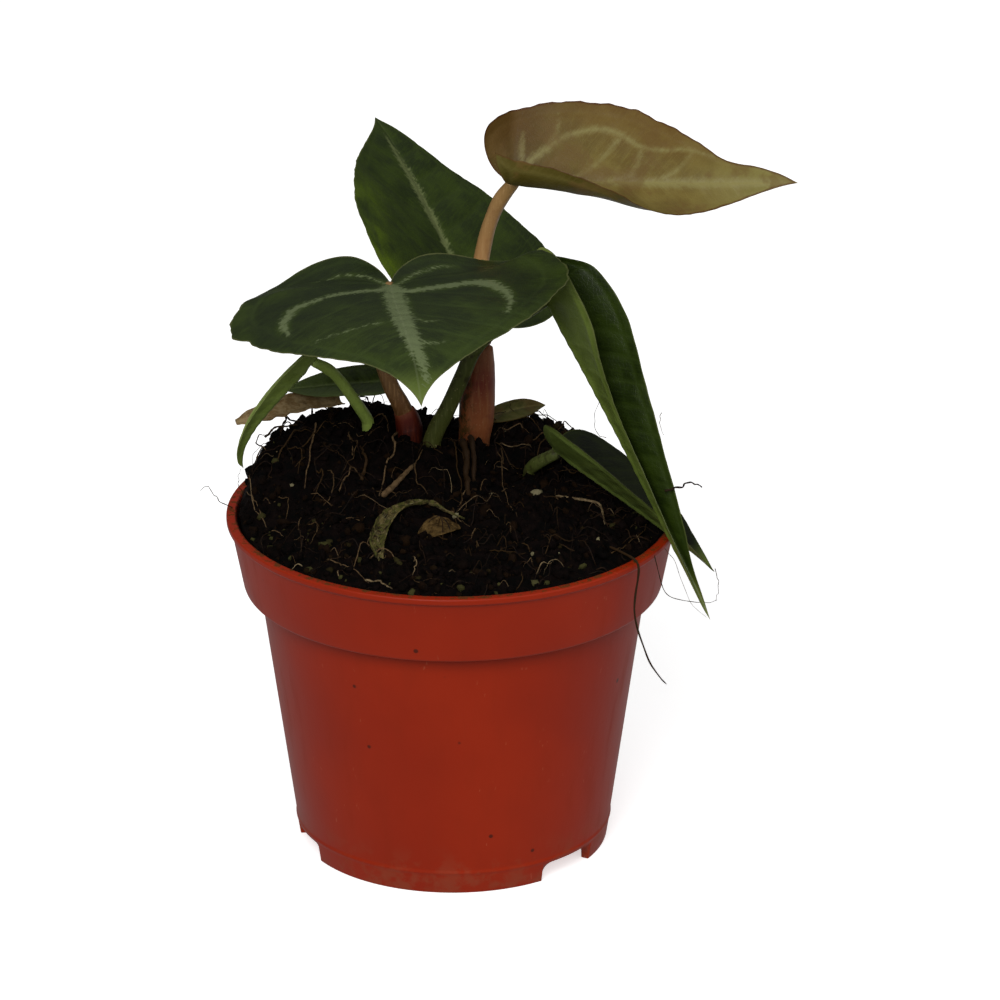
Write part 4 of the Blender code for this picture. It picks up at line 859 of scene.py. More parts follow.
def plainOutline(leaf, share, side):
    # two quarter ellipses round the lobe, the first one's sine to the power lobeSlant, which straightens the rear
    # margin, then width (1 - t^fullness)(1 - drip t^3) on to the tip; the rib's own share goes with t^1.2
    width, length = leaf["left"] if side > 0 else leaf["right"], leaf["length"]
    middle, lobe = sideValue(leaf, "lobeMiddle", side), sideValue(leaf, "lobe", side)
    widest = leaf["widest"] * length
    turnIn = np.pi * (1 - 0.5 * np.clip(share / lobeShare, 0, 1))
    turnOut = 0.5 * np.pi * (1 - np.clip((share - lobeShare) / shoulderShare, 0, 1))
    t = np.clip((share - lobeShare - shoulderShare) / tipShare, 0, 1)
    rear, onward = share <= lobeShare, share > lobeShare + shoulderShare
    slanted = np.sin(turnIn)**sideValue(leaf, "lobeSlant", side, 1.0)
    along = np.where(rear, -lobe * slanted, widest - (widest + lobe) * np.sin(turnOut))
    across = np.where(rear, middle * width * (1 + np.cos(turnIn)), width * (middle + (1 - middle) * np.cos(turnOut)))
    along = np.where(onward, widest + (length - widest) * t, along)
    across = np.where(onward, width * (1 - t**leaf["fullness"]) * (1 - leaf["drip"] * t**3), across)
    return along, side * across, np.where(onward, length * t**1.2, 0.0)


def routeDistance(along, across, route, widths):
    # least distance from flat points to a smooth route, less the route's half width there
    line = curveThrough(np.array(route, float) * mm, 4)
    half = spread(np.array(widths, float) * mm, len(line))
    start, step = line[:-1], np.diff(line, axis=0)
    gap = np.stack([along, across], -1)[..., None, :] - start
    t = np.clip((gap * step).sum(-1) / (step**2).sum(-1), 0, 1)
    away = np.linalg.norm(gap - t[..., None] * step, axis=-1)
    return (away - half[:-1] - t * np.diff(half)).min(-1)


def lateralRoutes(leaf):
    # side veins that leave the rib at a slant and bend on towards the tip, and one that runs inside the margin
    routes = []
    length = leaf["length"]
    for side in (1, -1):
        share = np.linspace(0.10, 0.985, 24)
        along, across, rib = halfOutline(leaf, share, side)
        inner = 0.86 - 0.10 * smooth(share, 0.9, 1.0)
        routes.append((np.stack([rib + (along - rib) * inner, across * inner], -1) / mm, [0.0] * 24))
        half = leaf["left"] if side > 0 else leaf["right"]
        for k in range(leaf["laterals"]):
            begin = length * (0.10 + 0.72 * (k + 0.5 * (side < 0)) / leaf["laterals"])
            t = np.clip((begin / length - leaf["widest"]) / (1 - leaf["widest"]), 0, 1)
            width = half * (1 - t**leaf["fullness"]) * (1 - leaf["drip"] * t**3) * 0.86
            q = np.linspace(0, 1, 6)
            routes.append((np.stack([begin + width * (0.35 * q + 0.35 * q * q), side * width * q], -1) / mm, [0.0] * 6))
        for reach, slant in ((0.80, 0.35), (0.72, 1.0)):   # veins into the lobe
            q = np.linspace(0, 1, 5)
            back = -leaf["lobe"] * reach * q * slant * (1 - 0.3 * q)
            routes.append((np.stack([back, side * half * (reach - 0.3 * slant) * q], -1) / mm, [0.0] * 5))
    return routes


def buildLeaf(name, materials):
    # a closed shell: the sheet's upper and lower faces, a margin strip between them, and relief from the veins
    leaf = leafValues(name)
    rows, columns = leaf["rows"] + 1, 2 * leaf["columns"] + 1
    share = np.linspace(0, 1, rows)
    out = np.linspace(-1, 1, columns)   # columns stand closer towards the margin
    out = np.sign(out) * (0.35 * np.abs(out) + 0.65 * (1 - (1 - np.abs(out))**1.25))
    out[leaf["columns"]] = 0.0
    halves = {side: halfOutline(leaf, share, side) for side in (1, -1)}
    edgeAlong = np.where(out[None] > 0, halves[1][0][:, None], halves[-1][0][:, None])
    edgeAcross = np.where(out[None] > 0, halves[1][1][:, None], halves[-1][1][:, None])
    rib = halves[1][2][:, None]
    reach = np.abs(out)[None]
    along = (1 - reach) * rib + reach * edgeAlong
    across = reach * edgeAcross
    shape = along.shape
    flat = along.ravel(), across.ravel()

    fine = np.min([routeDistance(*flat, *route) for route in lateralRoutes(leaf)], 0).reshape(shape)
    routes = silverRoutes.get(name)
    if routes is None:
        (wide, thin), end = leaf["ribWidth"], leaf["length"] / mm
        routes = [([(0, 0), (end * 0.5, 0), (end * 0.97, 0)], [wide, (wide + thin) / 2, thin])]
    silver = np.min([routeDistance(*flat, *route) for route in routes], 0).reshape(shape)
    borders = [np.stack(halves[side][:2], -1)[::3] / mm for side in (1, -1)]
    edge = np.min([routeDistance(*flat, border, [0] * len(border)) for border in borders], 0).reshape(shape)
    ribAway = np.abs(across)

    relief = -leaf["groove"] * np.exp(-(ribAway / leaf["grooveWidth"])**2) * smooth(along, -0.001, 0.004)
    relief -= 0.6 * leaf["quilt"] * np.exp(-(np.maximum(fine, 0) / leaf["quiltLine"])**2)
    relief += leaf["quilt"] * (1 - np.exp(-(fine / leaf["quiltReach"])**2)) * smooth(edge, 0.0, 0.003)
    sway = np.sin(along / leaf["waveLength"] + 4 * np.sign(across))
    relief += leaf["wave"] * smooth(ribAway, 0.2 * leaf["left"], leaf["left"]) * sway
    relief += leaf["lumps"] * latticeNoise(along, across, leaf["lumpSize"], 7) * smooth(ribAway, 0.001, 0.008)
    thickness = leaf["thickness"] * (leaf["thinEdge"] + (1 - leaf["thinEdge"]) * smooth(edge, 0.0, 0.004))
    thickness += leaf["ribDepth"] * np.exp(-(ribAway / leaf["ribSoft"])**2) * smooth(leaf["length"] - along, 0, 0.02)
    middle, normal = bladeSheet(leaf, along, across, relief)
    upper = middle + 0.25 * leaf["thickness"] * normal
    lower = upper - thickness[..., None] * normal
    size = rows * columns
    top = gridQuads(rows, columns)
    bottom = top[:, ::-1] + size
    i = np.arange(rows - 1)
    rims = []
    for column, flip in ((0, True), (columns - 1, False)):
        a, b = i * columns + column, (i + 1) * columns + column
        strip = np.stack([a, b, b + size, a + size], -1)
        rims.append(strip if flip else strip[:, ::-1])
    rims = np.concatenate(rims)
    points = np.concatenate([upper.reshape(-1, 3), lower.reshape(-1, 3)])
    low, high = (np.array(corner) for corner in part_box(name + "_blade"))
    if name == "old":   # it lies on the soil, at its solid's height
        points[:, 2] += (low[2] + high[2]) / 2 - (points[:, 2].min() + points[:, 2].max()) / 2
    fields = {
        "vein": silver, "fine": fine, "edge": edge, "ribWay": along / leaf["length"],
        "flatAlong": along, "flatAcross": across,
    }
    fields = {key: np.concatenate([value.ravel()] * 2) for key, value in fields.items()}
    index = np.concatenate([np.zeros(len(top)), np.ones(len(bottom)), np.zeros(len(rims))]).astype(np.int32)
    return makePiece(name + "_leaf", points, [top, bottom, rims], materials, [name + "_blade"],
                     fields=fields, faceMaterial=index, merge=2e-6, crease=75)


plainLook = dict(rough=0.5, gloss=0.18, streak=0.4, lateral=0.35, net=0.12, glowPower=0.8, fray=0.0060, veinPower=0.85,
                 ribPower=0.3, borderWidth=0.00045, borderPower=0.6, patchPower=0.5)


def leafFinish(name, look):
    # green ground in patches and streaks, silver or pale veins with feathered sides, a pale thin margin
    look = {**plainLook, **look}
    f = Finish(name, Specular_IOR_Level=look["gloss"])
    where = f.place()
    along, across = f.field("flatAlong"), f.field("flatAcross")
    vein, fine, edge, way = (f.field(key) for key in ("vein", "fine", "edge", "ribWay"))
    slant = along - across.size() * 0.75
    streak = f.noise(f.vector(slant * 1500, across.size() * 240), 1.0, 3, 0.6)
    cloud = f.noise(where, 130, 3, 0.55)
    grain = f.noise(where, 2600, 2)
    mesh = f.cells(f.vector(along, across, 0), 900)
    f.color = paint(*look["dark"])
    f.coat(f.step(cloud, 0.34, 0.68), look["ground"])
    f.coat(f.step(streak, 0.45, 0.72) * look["streak"], look["light"])
    f.coat(f.step(fine, 0.0011, 0.0001) * look["lateral"], look["lateralColor"])
    f.coat(f.step(mesh, 0.07, 0.0) * look["net"], look["light"])
    if "tip" in look:
        f.coat(f.step(way, look["tipFrom"], 0.99) * 0.9, look["tip"])
    if "base" in look:   # darker towards the stalk's end
        f.coat(f.step(along, look["baseTo"], -0.002) * 0.7, look["base"])
    if "glow" in look:   # one side brighter towards its margin
        side = look["glowSide"] * across
        bright = f.step(side, 0.002, 0.012) * f.step(edge, 0.016, 0.002) * f.step(f.noise(where, 75, 3), 0.30, 0.54)
        if "glowEnd" in look:
            bright = bright * f.step(way, look["glowEnd"], look["glowEnd"] - 0.35)
        f.coat(bright * look["glowPower"], look["glow"])
    if "pool" in look:   # the darker field beside the rib
        pool = f.step(vein, 0.0004, 0.0022) * f.step(vein, 0.0115, 0.0045) * f.step(way, 0.62, 0.30)
        f.coat(pool * 0.55, look["pool"])
    comb = f.noise(f.vector(slant * 1300, across.size() * 360), 1.0, 5, 0.75) - 0.5
    blot = f.noise(f.vector(along * 700, across * 700), 1.0, 3, 0.6) - 0.5
    frayed = vein + comb * look["fray"] + blot * look["fray"] * 0.6
    silver = f.step(frayed, look["veinSoft"], -look["veinSoft"]) * look["veinPower"]
    f.coat(silver, look["vein"])
    rib = f.step(across.size(), 0.0004, 0.00012)
    f.coat(rib * look["ribPower"], look["rib"])
    width = look["borderWidth"]
    border = f.step(edge + (f.noise(where, 420, 2) - 0.5) * width, width, width * 0.2)
    f.coat(border * look["borderPower"], look["border"])
    if "patch" in look:
        stain = f.step(f.noise(where, 85, 4, 0.65), 0.50, 0.62)
        f.coat(stain * look["patchPower"], look["patch"])
    rough = look["rough"] + (grain - 0.5) * 0.12 - silver * 0.06
    relief = grain * 0.25 + streak * 0.5 + f.step(mesh, 0.0, 0.12) * 0.35
    return f.done(rough, f.bump(relief, 0.00012, 0.55))


# colours as they show, 0..255; the powers are shares of the mix, and fray is how far the silver's sides run out
leafLooks = {
    "velvetLeaf": dict(
        dark=(27, 37, 16), ground=(39, 51, 21), light=(52, 66, 30), lateralColor=(49, 62, 30), vein=(88, 98, 68),
        rib=(112, 118, 92), border=(84, 86, 54), pool=(20, 29, 15), tip=(80, 94, 40), tipFrom=0.80, veinSoft=0.0007,
        rough=0.50, ribPower=0.12),
    "backLeaf": dict(
        dark=(27, 38, 10), ground=(40, 53, 15), light=(50, 65, 20), lateralColor=(43, 56, 20), vein=(90, 98, 62),
        rib=(98, 106, 70), border=(84, 92, 48), veinSoft=0.0008, rough=0.46, glow=(74, 92, 18), glowSide=1,
        glowPower=0.85, glowEnd=0.62, ribPower=0.08),
    "bronzeLeaf": dict(
        dark=(84, 70, 36), ground=(97, 84, 44), light=(106, 96, 52), lateralColor=(110, 100, 58), vein=(119, 113, 72),
        rib=(120, 112, 68), border=(66, 38, 22), veinSoft=0.0011, rough=0.45, patch=(86, 66, 38), fray=0.0022,
        gloss=0.16, streak=0.35, lateral=0.12, patchPower=0.55, borderPower=0.85, borderWidth=0.0007, glow=(82, 52, 28),
        glowSide=1, glowPower=0.4, tip=(112, 106, 60), tipFrom=0.55, veinPower=0.7, base=(56, 43, 22), baseTo=0.024),
    "greenLeaf": dict(
        dark=(24, 34, 13), ground=(34, 46, 18), light=(44, 57, 25), lateralColor=(44, 57, 27), vein=(62, 74, 38),
        rib=(76, 88, 46), border=(78, 86, 48), veinSoft=0.0005, rough=0.40, gloss=0.2, fray=0.0015, tip=(100, 104, 48),
        tipFrom=0.83),
    "brightLeaf": dict(
        dark=(62, 78, 32), ground=(84, 102, 46), light=(106, 124, 62), lateralColor=(94, 112, 56), vein=(58, 72, 30),
        rib=(54, 66, 28), border=(124, 134, 80), veinSoft=0.0008, rough=0.42, fray=0.0015, borderWidth=0.0009),
    "lowLeaf": dict(
        dark=(36, 48, 19), ground=(48, 62, 24), light=(61, 77, 32), lateralColor=(60, 74, 34), vein=(66, 78, 38),
        rib=(80, 92, 48), border=(78, 86, 48), veinSoft=0.0005, rough=0.42, fray=0.0015, glow=(82, 100, 42), glowSide=1,
        glowPower=0.9),
    "agedLeaf": dict(
        dark=(46, 48, 20), ground=(64, 64, 30), light=(82, 78, 42), lateralColor=(80, 76, 44), vein=(88, 84, 50),
        rib=(92, 88, 54), border=(66, 48, 28), veinSoft=0.0004, rough=0.55, patch=(72, 52, 28), fray=0.0015),
    "paleUnderside": dict(
        dark=(78, 92, 42), ground=(93, 108, 52), light=(102, 118, 62), lateralColor=(86, 98, 54), vein=(96, 106, 66),
        rib=(100, 110, 68), border=(96, 102, 60), veinSoft=0.0004, rough=0.52, fray=0.0015),
    "keelUnderside": dict(
        dark=(76, 90, 38), ground=(90, 105, 47), light=(100, 115, 56), lateralColor=(96, 110, 54), vein=(104, 116, 62),
        rib=(108, 118, 66), border=(110, 116, 66), veinSoft=0.0004, rough=0.52, fray=0.0015, borderWidth=0.0010,
        borderPower=0.6, tip=(122, 124, 60), tipFrom=0.83),
    # painted shade: the green leaf's colours darkened for the low right leaf, which lies under the right leaf
    "paintedShadeLeaf": dict(
        dark=(12, 17, 8), ground=(19, 25, 12), light=(27, 35, 17), lateralColor=(25, 32, 16), vein=(36, 44, 24),
        rib=(44, 52, 30), border=(50, 56, 30), veinSoft=0.0005, rough=0.5, gloss=0.1, fray=0.0015, tip=(84, 96, 46),
        tipFrom=0.80),
    "darkUnderside": dict(
        dark=(44, 52, 28), ground=(54, 62, 34), light=(66, 74, 42), lateralColor=(70, 78, 48), vein=(84, 90, 58),
        rib=(96, 92, 58), border=(84, 80, 50), veinSoft=0.0004, rough=0.52, fray=0.0015),
    "bronzeUnderside": dict(
        dark=(73, 65, 30), ground=(86, 77, 39), light=(96, 87, 47), lateralColor=(98, 90, 50), vein=(104, 96, 56),
        rib=(138, 120, 80), border=(84, 58, 34), veinSoft=0.0004, rough=0.45, fray=0.0015, patch=(104, 80, 48)),
}


def buildLeaves():
    # each leaf with the looks of its upper side and its underside
    finishes = {name: leafFinish(name, look) for name, look in leafLooks.items()}
    for name, upper, lower, slot in (
        ("front", "velvetLeaf", "darkUnderside", "dark_leaf"),
        ("back", "backLeaf", "darkUnderside", "dark_leaf"),
        ("newest", "bronzeLeaf", "bronzeUnderside", "bronze_leaf"),
        ("right", "greenLeaf", "keelUnderside", "green_leaf"),
        ("low_right", "paintedShadeLeaf", "paleUnderside", "green_leaf"),
        ("left", "brightLeaf", "paleUnderside", "green_leaf"),
        ("low_left", "lowLeaf", "paleUnderside", "green_leaf"),
        ("old", "agedLeaf", "agedLeaf", "green_leaf"),
    ):
        buildLeaf(name, [finishes[upper], finishes[lower]])
    print("leaves grown")


# a foot in the soil or none, radii at foot and top, and the way up to the blade
stalks = {
    "newest": dict(foot=None, radii=(0.0025, 0.0017), route=(
        (0.0077, 0.0142, 0.1347), (0.0077, 0.0144, 0.1372), (0.0074, 0.0158, 0.1410), (0.0070, 0.0176, 0.1468),
        (0.0072, 0.0187, 0.1533), (0.0083, 0.0190, 0.1602), (0.0099, 0.0183, 0.1669), (0.0125, 0.0165, 0.1738))),
    "front": dict(foot=None, radii=(0.0025, 0.0013), route=(
        (-0.0125, 0.0135, 0.1142), (-0.0140, 0.0130, 0.1180), (-0.0161, 0.0130, 0.1221), (-0.0182, 0.0135, 0.1278),
        (-0.0198, 0.0140, 0.1332), (-0.0205, 0.0142, 0.1385), (-0.0204, 0.0130, 0.1432), (-0.0196, 0.0105, 0.1476),
        (-0.0182, 0.0068, 0.1516))),
    "back": dict(foot=(0.0042, 0.0236), radii=(0.0019, 0.0014), route=(
        (0.0042, 0.0241, 0.1110), (0.0040, 0.0262, 0.1190), (0.0036, 0.0300, 0.1290))),
    "right": dict(foot=(-0.0055, 0.0085), radii=(0.0026, 0.0018), route=(
        (-0.0053, 0.0085, 0.1095), (-0.0038, 0.0080, 0.1135), (-0.0010, 0.0070, 0.1194), (0.0025, 0.0055, 0.1284),
        (0.0059, 0.0045, 0.1366), (0.0112, 0.0040, 0.1425), (0.0178, 0.0046, 0.1462))),
    "low_right": dict(foot=(0.0202, 0.0092), radii=(0.0018, 0.0015), route=((0.0216, 0.0083, 0.1020),)),
    "left": dict(foot=(-0.0225, 0.0150), radii=(0.0018, 0.0013), route=(
        (-0.0229, 0.0146, 0.1128), (-0.0246, 0.0127, 0.1165), (-0.0272, 0.0105, 0.1215), (-0.0303, 0.0080, 0.1270),
        (-0.0330, 0.0052, 0.1308))),
    "low_left": dict(foot=(-0.0132, 0.0225), radii=(0.0013, 0.0010), route=(
        (-0.0135, 0.0227, 0.1125), (-0.0147, 0.0230, 0.1165))),
}
sheaths = {
    "main_stem": dict(foot=(0.0056, 0.0150), route=(
        (0.0062, 0.0150, 0.1120), (0.0066, 0.0149, 0.1200), (0.0072, 0.0145, 0.1268), (0.0077, 0.0142, 0.1341)),
        radii=(0.0042, 0.0042, 0.0042, 0.0042, 0.0046, 0.0046, 0.0043, 0.0038, 0.0029)),
    "left_crown": dict(foot=(-0.0115, 0.0136), route=(
        (-0.0118, 0.0136, 0.1116), (-0.0124, 0.0135, 0.1140), (-0.0131, 0.0134, 0.1158)),
        radii=(0.0036, 0.0036, 0.0036, 0.0036, 0.0034, 0.0031, 0.0027)),
}
stemShape = {
    "swelling": 0.14, "swellingFrom": 0.0055, "swellingWidth": 0.0030, "tipRound": 0.0009,   # the joint under a blade
    "ribs": ((0.020, 5), (0.010, 11)), "wobble": 0.02, "wobbleLength": 0.0043, "gloss": 0.22,
}


def footPoints(foot):
    # the plumb start of a stem, from its depth in the soil to just above the surface
    x, y = foot
    level = float(soilLevel(x, y))
    return [(x, y, level - soil["depth"]), (x, y, level - soil["depth"] / 2), (x, y, level + 0.0012)]


def buildStem(name, line, radii, finish, nodes, sides=28, knuckle=True):
    # a round stem with faint ribs along it; near the blade the joint swells a little before it ends round
    steps = len(line)
    t = np.linspace(0, 1, steps)
    turn = np.linspace(0, 2 * np.pi, sides, endpoint=False)
    length = np.linalg.norm(np.diff(line, axis=0), axis=1).sum()
    left = (1 - t) * length
    if knuckle:
        bulge = np.exp(-((left - stemShape["swellingFrom"]) / stemShape["swellingWidth"])**2)
        radii = radii * (1 + stemShape["swelling"] * bulge)
    end = np.clip(left / (stemShape["tipRound"] if knuckle else 0.0003), 0, 1)
    radii = radii * np.sqrt(np.clip(1 - (1 - end)**2, 0.02 if knuckle else 0.5, 1))
    (wide, few), (fine, many) = stemShape["ribs"]
    ribs = 1 + wide * np.cos(few * turn + 2 * t[:, None]) + fine * np.cos(many * turn + 1.0)
    wobble = 1 + stemShape["wobble"] * np.sin(t * length / stemShape["wobbleLength"] + 1.7)[:, None]
    points, faces, fields = tubes(line[None], (radii[:, None] * ribs * wobble)[None], sides)
    return makePiece(name, points, faces, [finish], nodes, fields=fields, outward=True, crease=80)


plainStem = dict(rough=0.42, patchPower=0.35, speckPower=0.3)


def stemFinish(name, look):
    # colour from foot to top, streaks along the stem, specks, and where asked a film of moss on one side
    look = {**plainStem, **look}
    f = Finish(name, Specular_IOR_Level=stemShape["gloss"])
    where = f.place()
    x, _, z = f.parts(where)
    along = f.field("along")
    fibre = f.noise(f.place((1, 1, 0.12)), 1500, 3, 0.6)
    patch = f.noise(where, 300, 3, 0.6)
    f.ramp(along, look["stops"])
    f.coat(f.step(fibre, 0.45, 0.7) * 0.5, look["streak"])
    f.coat(f.step(patch, 0.52, 0.68) * look["patchPower"], look["patch"])
    speck = f.step(f.cells(where, 900, "F1"), 0.20, 0.12)
    f.coat(speck * look["speckPower"], look["speck"])
    relief = fibre * 0.6 + patch * 0.4
    if "moss" in look:
        film = f.step(f.noise(where, 520, 4, 0.7), 0.44, 0.56) * f.step(x, look["mossFrom"], look["mossTo"])
        film = film * f.step(z, look["mossTop"], look["mossTop"] - 0.004)
        f.coat(film * 0.85, look["moss"])
        relief = relief + film * f.noise(where, 2600, 2)
    return f.done(look["rough"], f.bump(relief, 0.00015, 0.6))


# the stops are colours from foot to top
stemLooks = {
    "orangeStalk": dict(
        stops=[(0.0, (112, 70, 46)), (0.4, (140, 102, 66)), (0.85, (140, 108, 70)), (1.0, (124, 98, 60))],
        streak=(156, 124, 84), patch=(120, 84, 54), speck=(164, 138, 96)),
    # its darker foot is painted shade under the front leaf
    "frontStalk": dict(
        stops=[(0.0, (72, 42, 26)), (0.25, (104, 76, 48)), (0.7, (136, 100, 64)), (1.0, (112, 90, 58))],
        streak=(150, 114, 76), patch=(104, 66, 44), speck=(150, 118, 84)),
    "greenStalk": dict(
        stops=[(0.0, (56, 50, 26)), (0.3, (54, 58, 28)), (0.8, (62, 70, 34)), (1.0, (70, 78, 42))],
        streak=(82, 88, 50), patch=(34, 30, 17), speck=(112, 108, 74), patchPower=0.75, speckPower=0.6, rough=0.6),
    # painted light: colours raised to make up for the front leaf's shadow on the left stalks
    "paintedLightStalk": dict(
        stops=[(0.0, (90, 100, 50)), (0.3, (112, 130, 62)), (1.0, (112, 130, 62))],
        streak=(128, 146, 78), patch=(96, 112, 50), speck=(136, 150, 88)),
    # its darker stops towards the foot are painted shade under the leaves
    "redSheath": dict(
        stops=[(0.0, (60, 32, 20)), (0.50, (112, 64, 40)), (0.62, (108, 60, 38)), (0.78, (92, 38, 30)),
               (1.0, (112, 70, 46))],
        streak=(124, 84, 56), patch=(86, 36, 28), speck=(140, 104, 80), rough=0.5,
        moss=(44, 38, 16), mossFrom=0.0070, mossTo=0.0030, mossTop=0.1310),
    # its darker stops towards the foot are painted shade under the leaves
    "crownSheath": dict(
        stops=[(0.0, (30, 14, 10)), (0.55, (52, 18, 13)), (0.8, (72, 24, 17)), (1.0, (100, 50, 34))],
        streak=(86, 36, 25), patch=(30, 14, 10), speck=(96, 56, 40), rough=0.5, patchPower=0.7),
}
stalkFinishes = {"newest": "orangeStalk", "front": "frontStalk", "left": "paintedLightStalk", "low_left": "paintedLightStalk"}


def buildStems():
    # the sheaths, then every stalk from its foot or sheath to just under its blade
    finishes = {name: stemFinish(name, look) for name, look in stemLooks.items()}
    for name, row in sheaths.items():
        line = curveThrough(footPoints(row["foot"]) + list(row["route"]), 10)
        finish = finishes["redSheath" if name == "main_stem" else "crownSheath"]
        radii = spread(row["radii"], len(line))
        buildStem(name + "_sheath", line, radii, finish, [name], 36, knuckle=False)
    for name, row in stalks.items():
        route = [np.array(point) for point in row["route"]]
        target = np.array(leaves[name]["at"])
        before = route[-1]
        route.append(target - (target - before) / np.linalg.norm(target - before) * 0.0001)
        if row["foot"]:
            route = [np.array(point) for point in footPoints(row["foot"])] + route
        line = curveThrough(route, 9)
        radii = np.linspace(*row["radii"], len(line))
        finish = finishes[stalkFinishes.get(name, "greenStalk")]
        buildStem(name + "_stalk_skin", line, radii, finish, [name + "_stalk"])
    print("stems raised")


# dry leaves: half widths from end to end, the angle that the sides curl up to, and the roll at both ends
strips = {
    "withered_leaf": dict(
        cup=55, roll=(-25, -40), slot="dead_leaf",
        widths=(0.0026, 0.0034, 0.0038, 0.0038, 0.0032, 0.0024, 0.0008), route=(
            (-0.0300, 0.0280, 0.1124), (-0.0330, 0.0265, 0.1130), (-0.0380, 0.0243, 0.1134),
            (-0.0430, 0.0215, 0.1135), (-0.0490, 0.0175, 0.1133), (-0.0540, 0.0140, 0.1130),
            (-0.0576, 0.0125, 0.1126))),
    "curled_dead_leaf": dict(
        cup=75, roll=(30, -25), slot="mossy_leaf",
        widths=(0.0012, 0.0026, 0.0028, 0.0024, 0.0019, 0.0015, 0.0011, 0.0005), route=(
            (-0.0186, -0.0420, 0.0952), (-0.0200, -0.0370, 0.0974), (-0.0186, -0.0300, 0.0994),
            (-0.0162, -0.0238, 0.1006), (-0.0122, -0.0182, 0.1010), (-0.0070, -0.0160, 0.1012),
            (-0.0028, -0.0180, 0.1002), (0.0030, -0.0220, 0.0990))),
    "dead_leaf_scrap": dict(
        cup=35, roll=(25, 15), slot="dead_leaf", widths=(0.0010, 0.0030, 0.0036, 0.0026, 0.0007), route=(
            (-0.0085, -0.0300, 0.0975), (-0.0060, -0.0285, 0.0984), (-0.0034, -0.0270, 0.0988),
            (-0.0004, -0.0256, 0.0984), (0.0020, -0.0244, 0.0980))),
}
rods = {
    "twig": dict(radius=0.0009, slot="twig", route=(
        (-0.0185, -0.0118, 0.1014), (-0.0160, -0.0080, 0.1024), (-0.0136, -0.0044, 0.1036), (-0.0116, -0.0012, 0.1046),
        (-0.0096, 0.0010, 0.1056))),
    "bent_root": dict(radius=0.00042, slot="root", route=(
        (0.0272, -0.0080, 0.1000), (0.0310, -0.0086, 0.0996), (0.0350, -0.0090, 0.0992), (0.0384, -0.0098, 0.0986),
        (0.0394, -0.0135, 0.0978), (0.0400, -0.0200, 0.0968))),
    "rim_root": dict(radius=0.00036, slot="root", route=(
        (0.0405, -0.0285, 0.0944), (0.0440, -0.0325, 0.0943), (0.0466, -0.0356, 0.0941), (0.0481, -0.0372, 0.0934),
        (0.0486, -0.0377, 0.0916), (0.0484, -0.0375, 0.0885), (0.0478, -0.0373, 0.0840), (0.0476, -0.0372, 0.0793),
        (0.0484, -0.0370, 0.0745), (0.0500, -0.0366, 0.0693), (0.0518, -0.0362, 0.0643), (0.0545, -0.0360, 0.0600),
        (0.0562, -0.0358, 0.0580))),
}
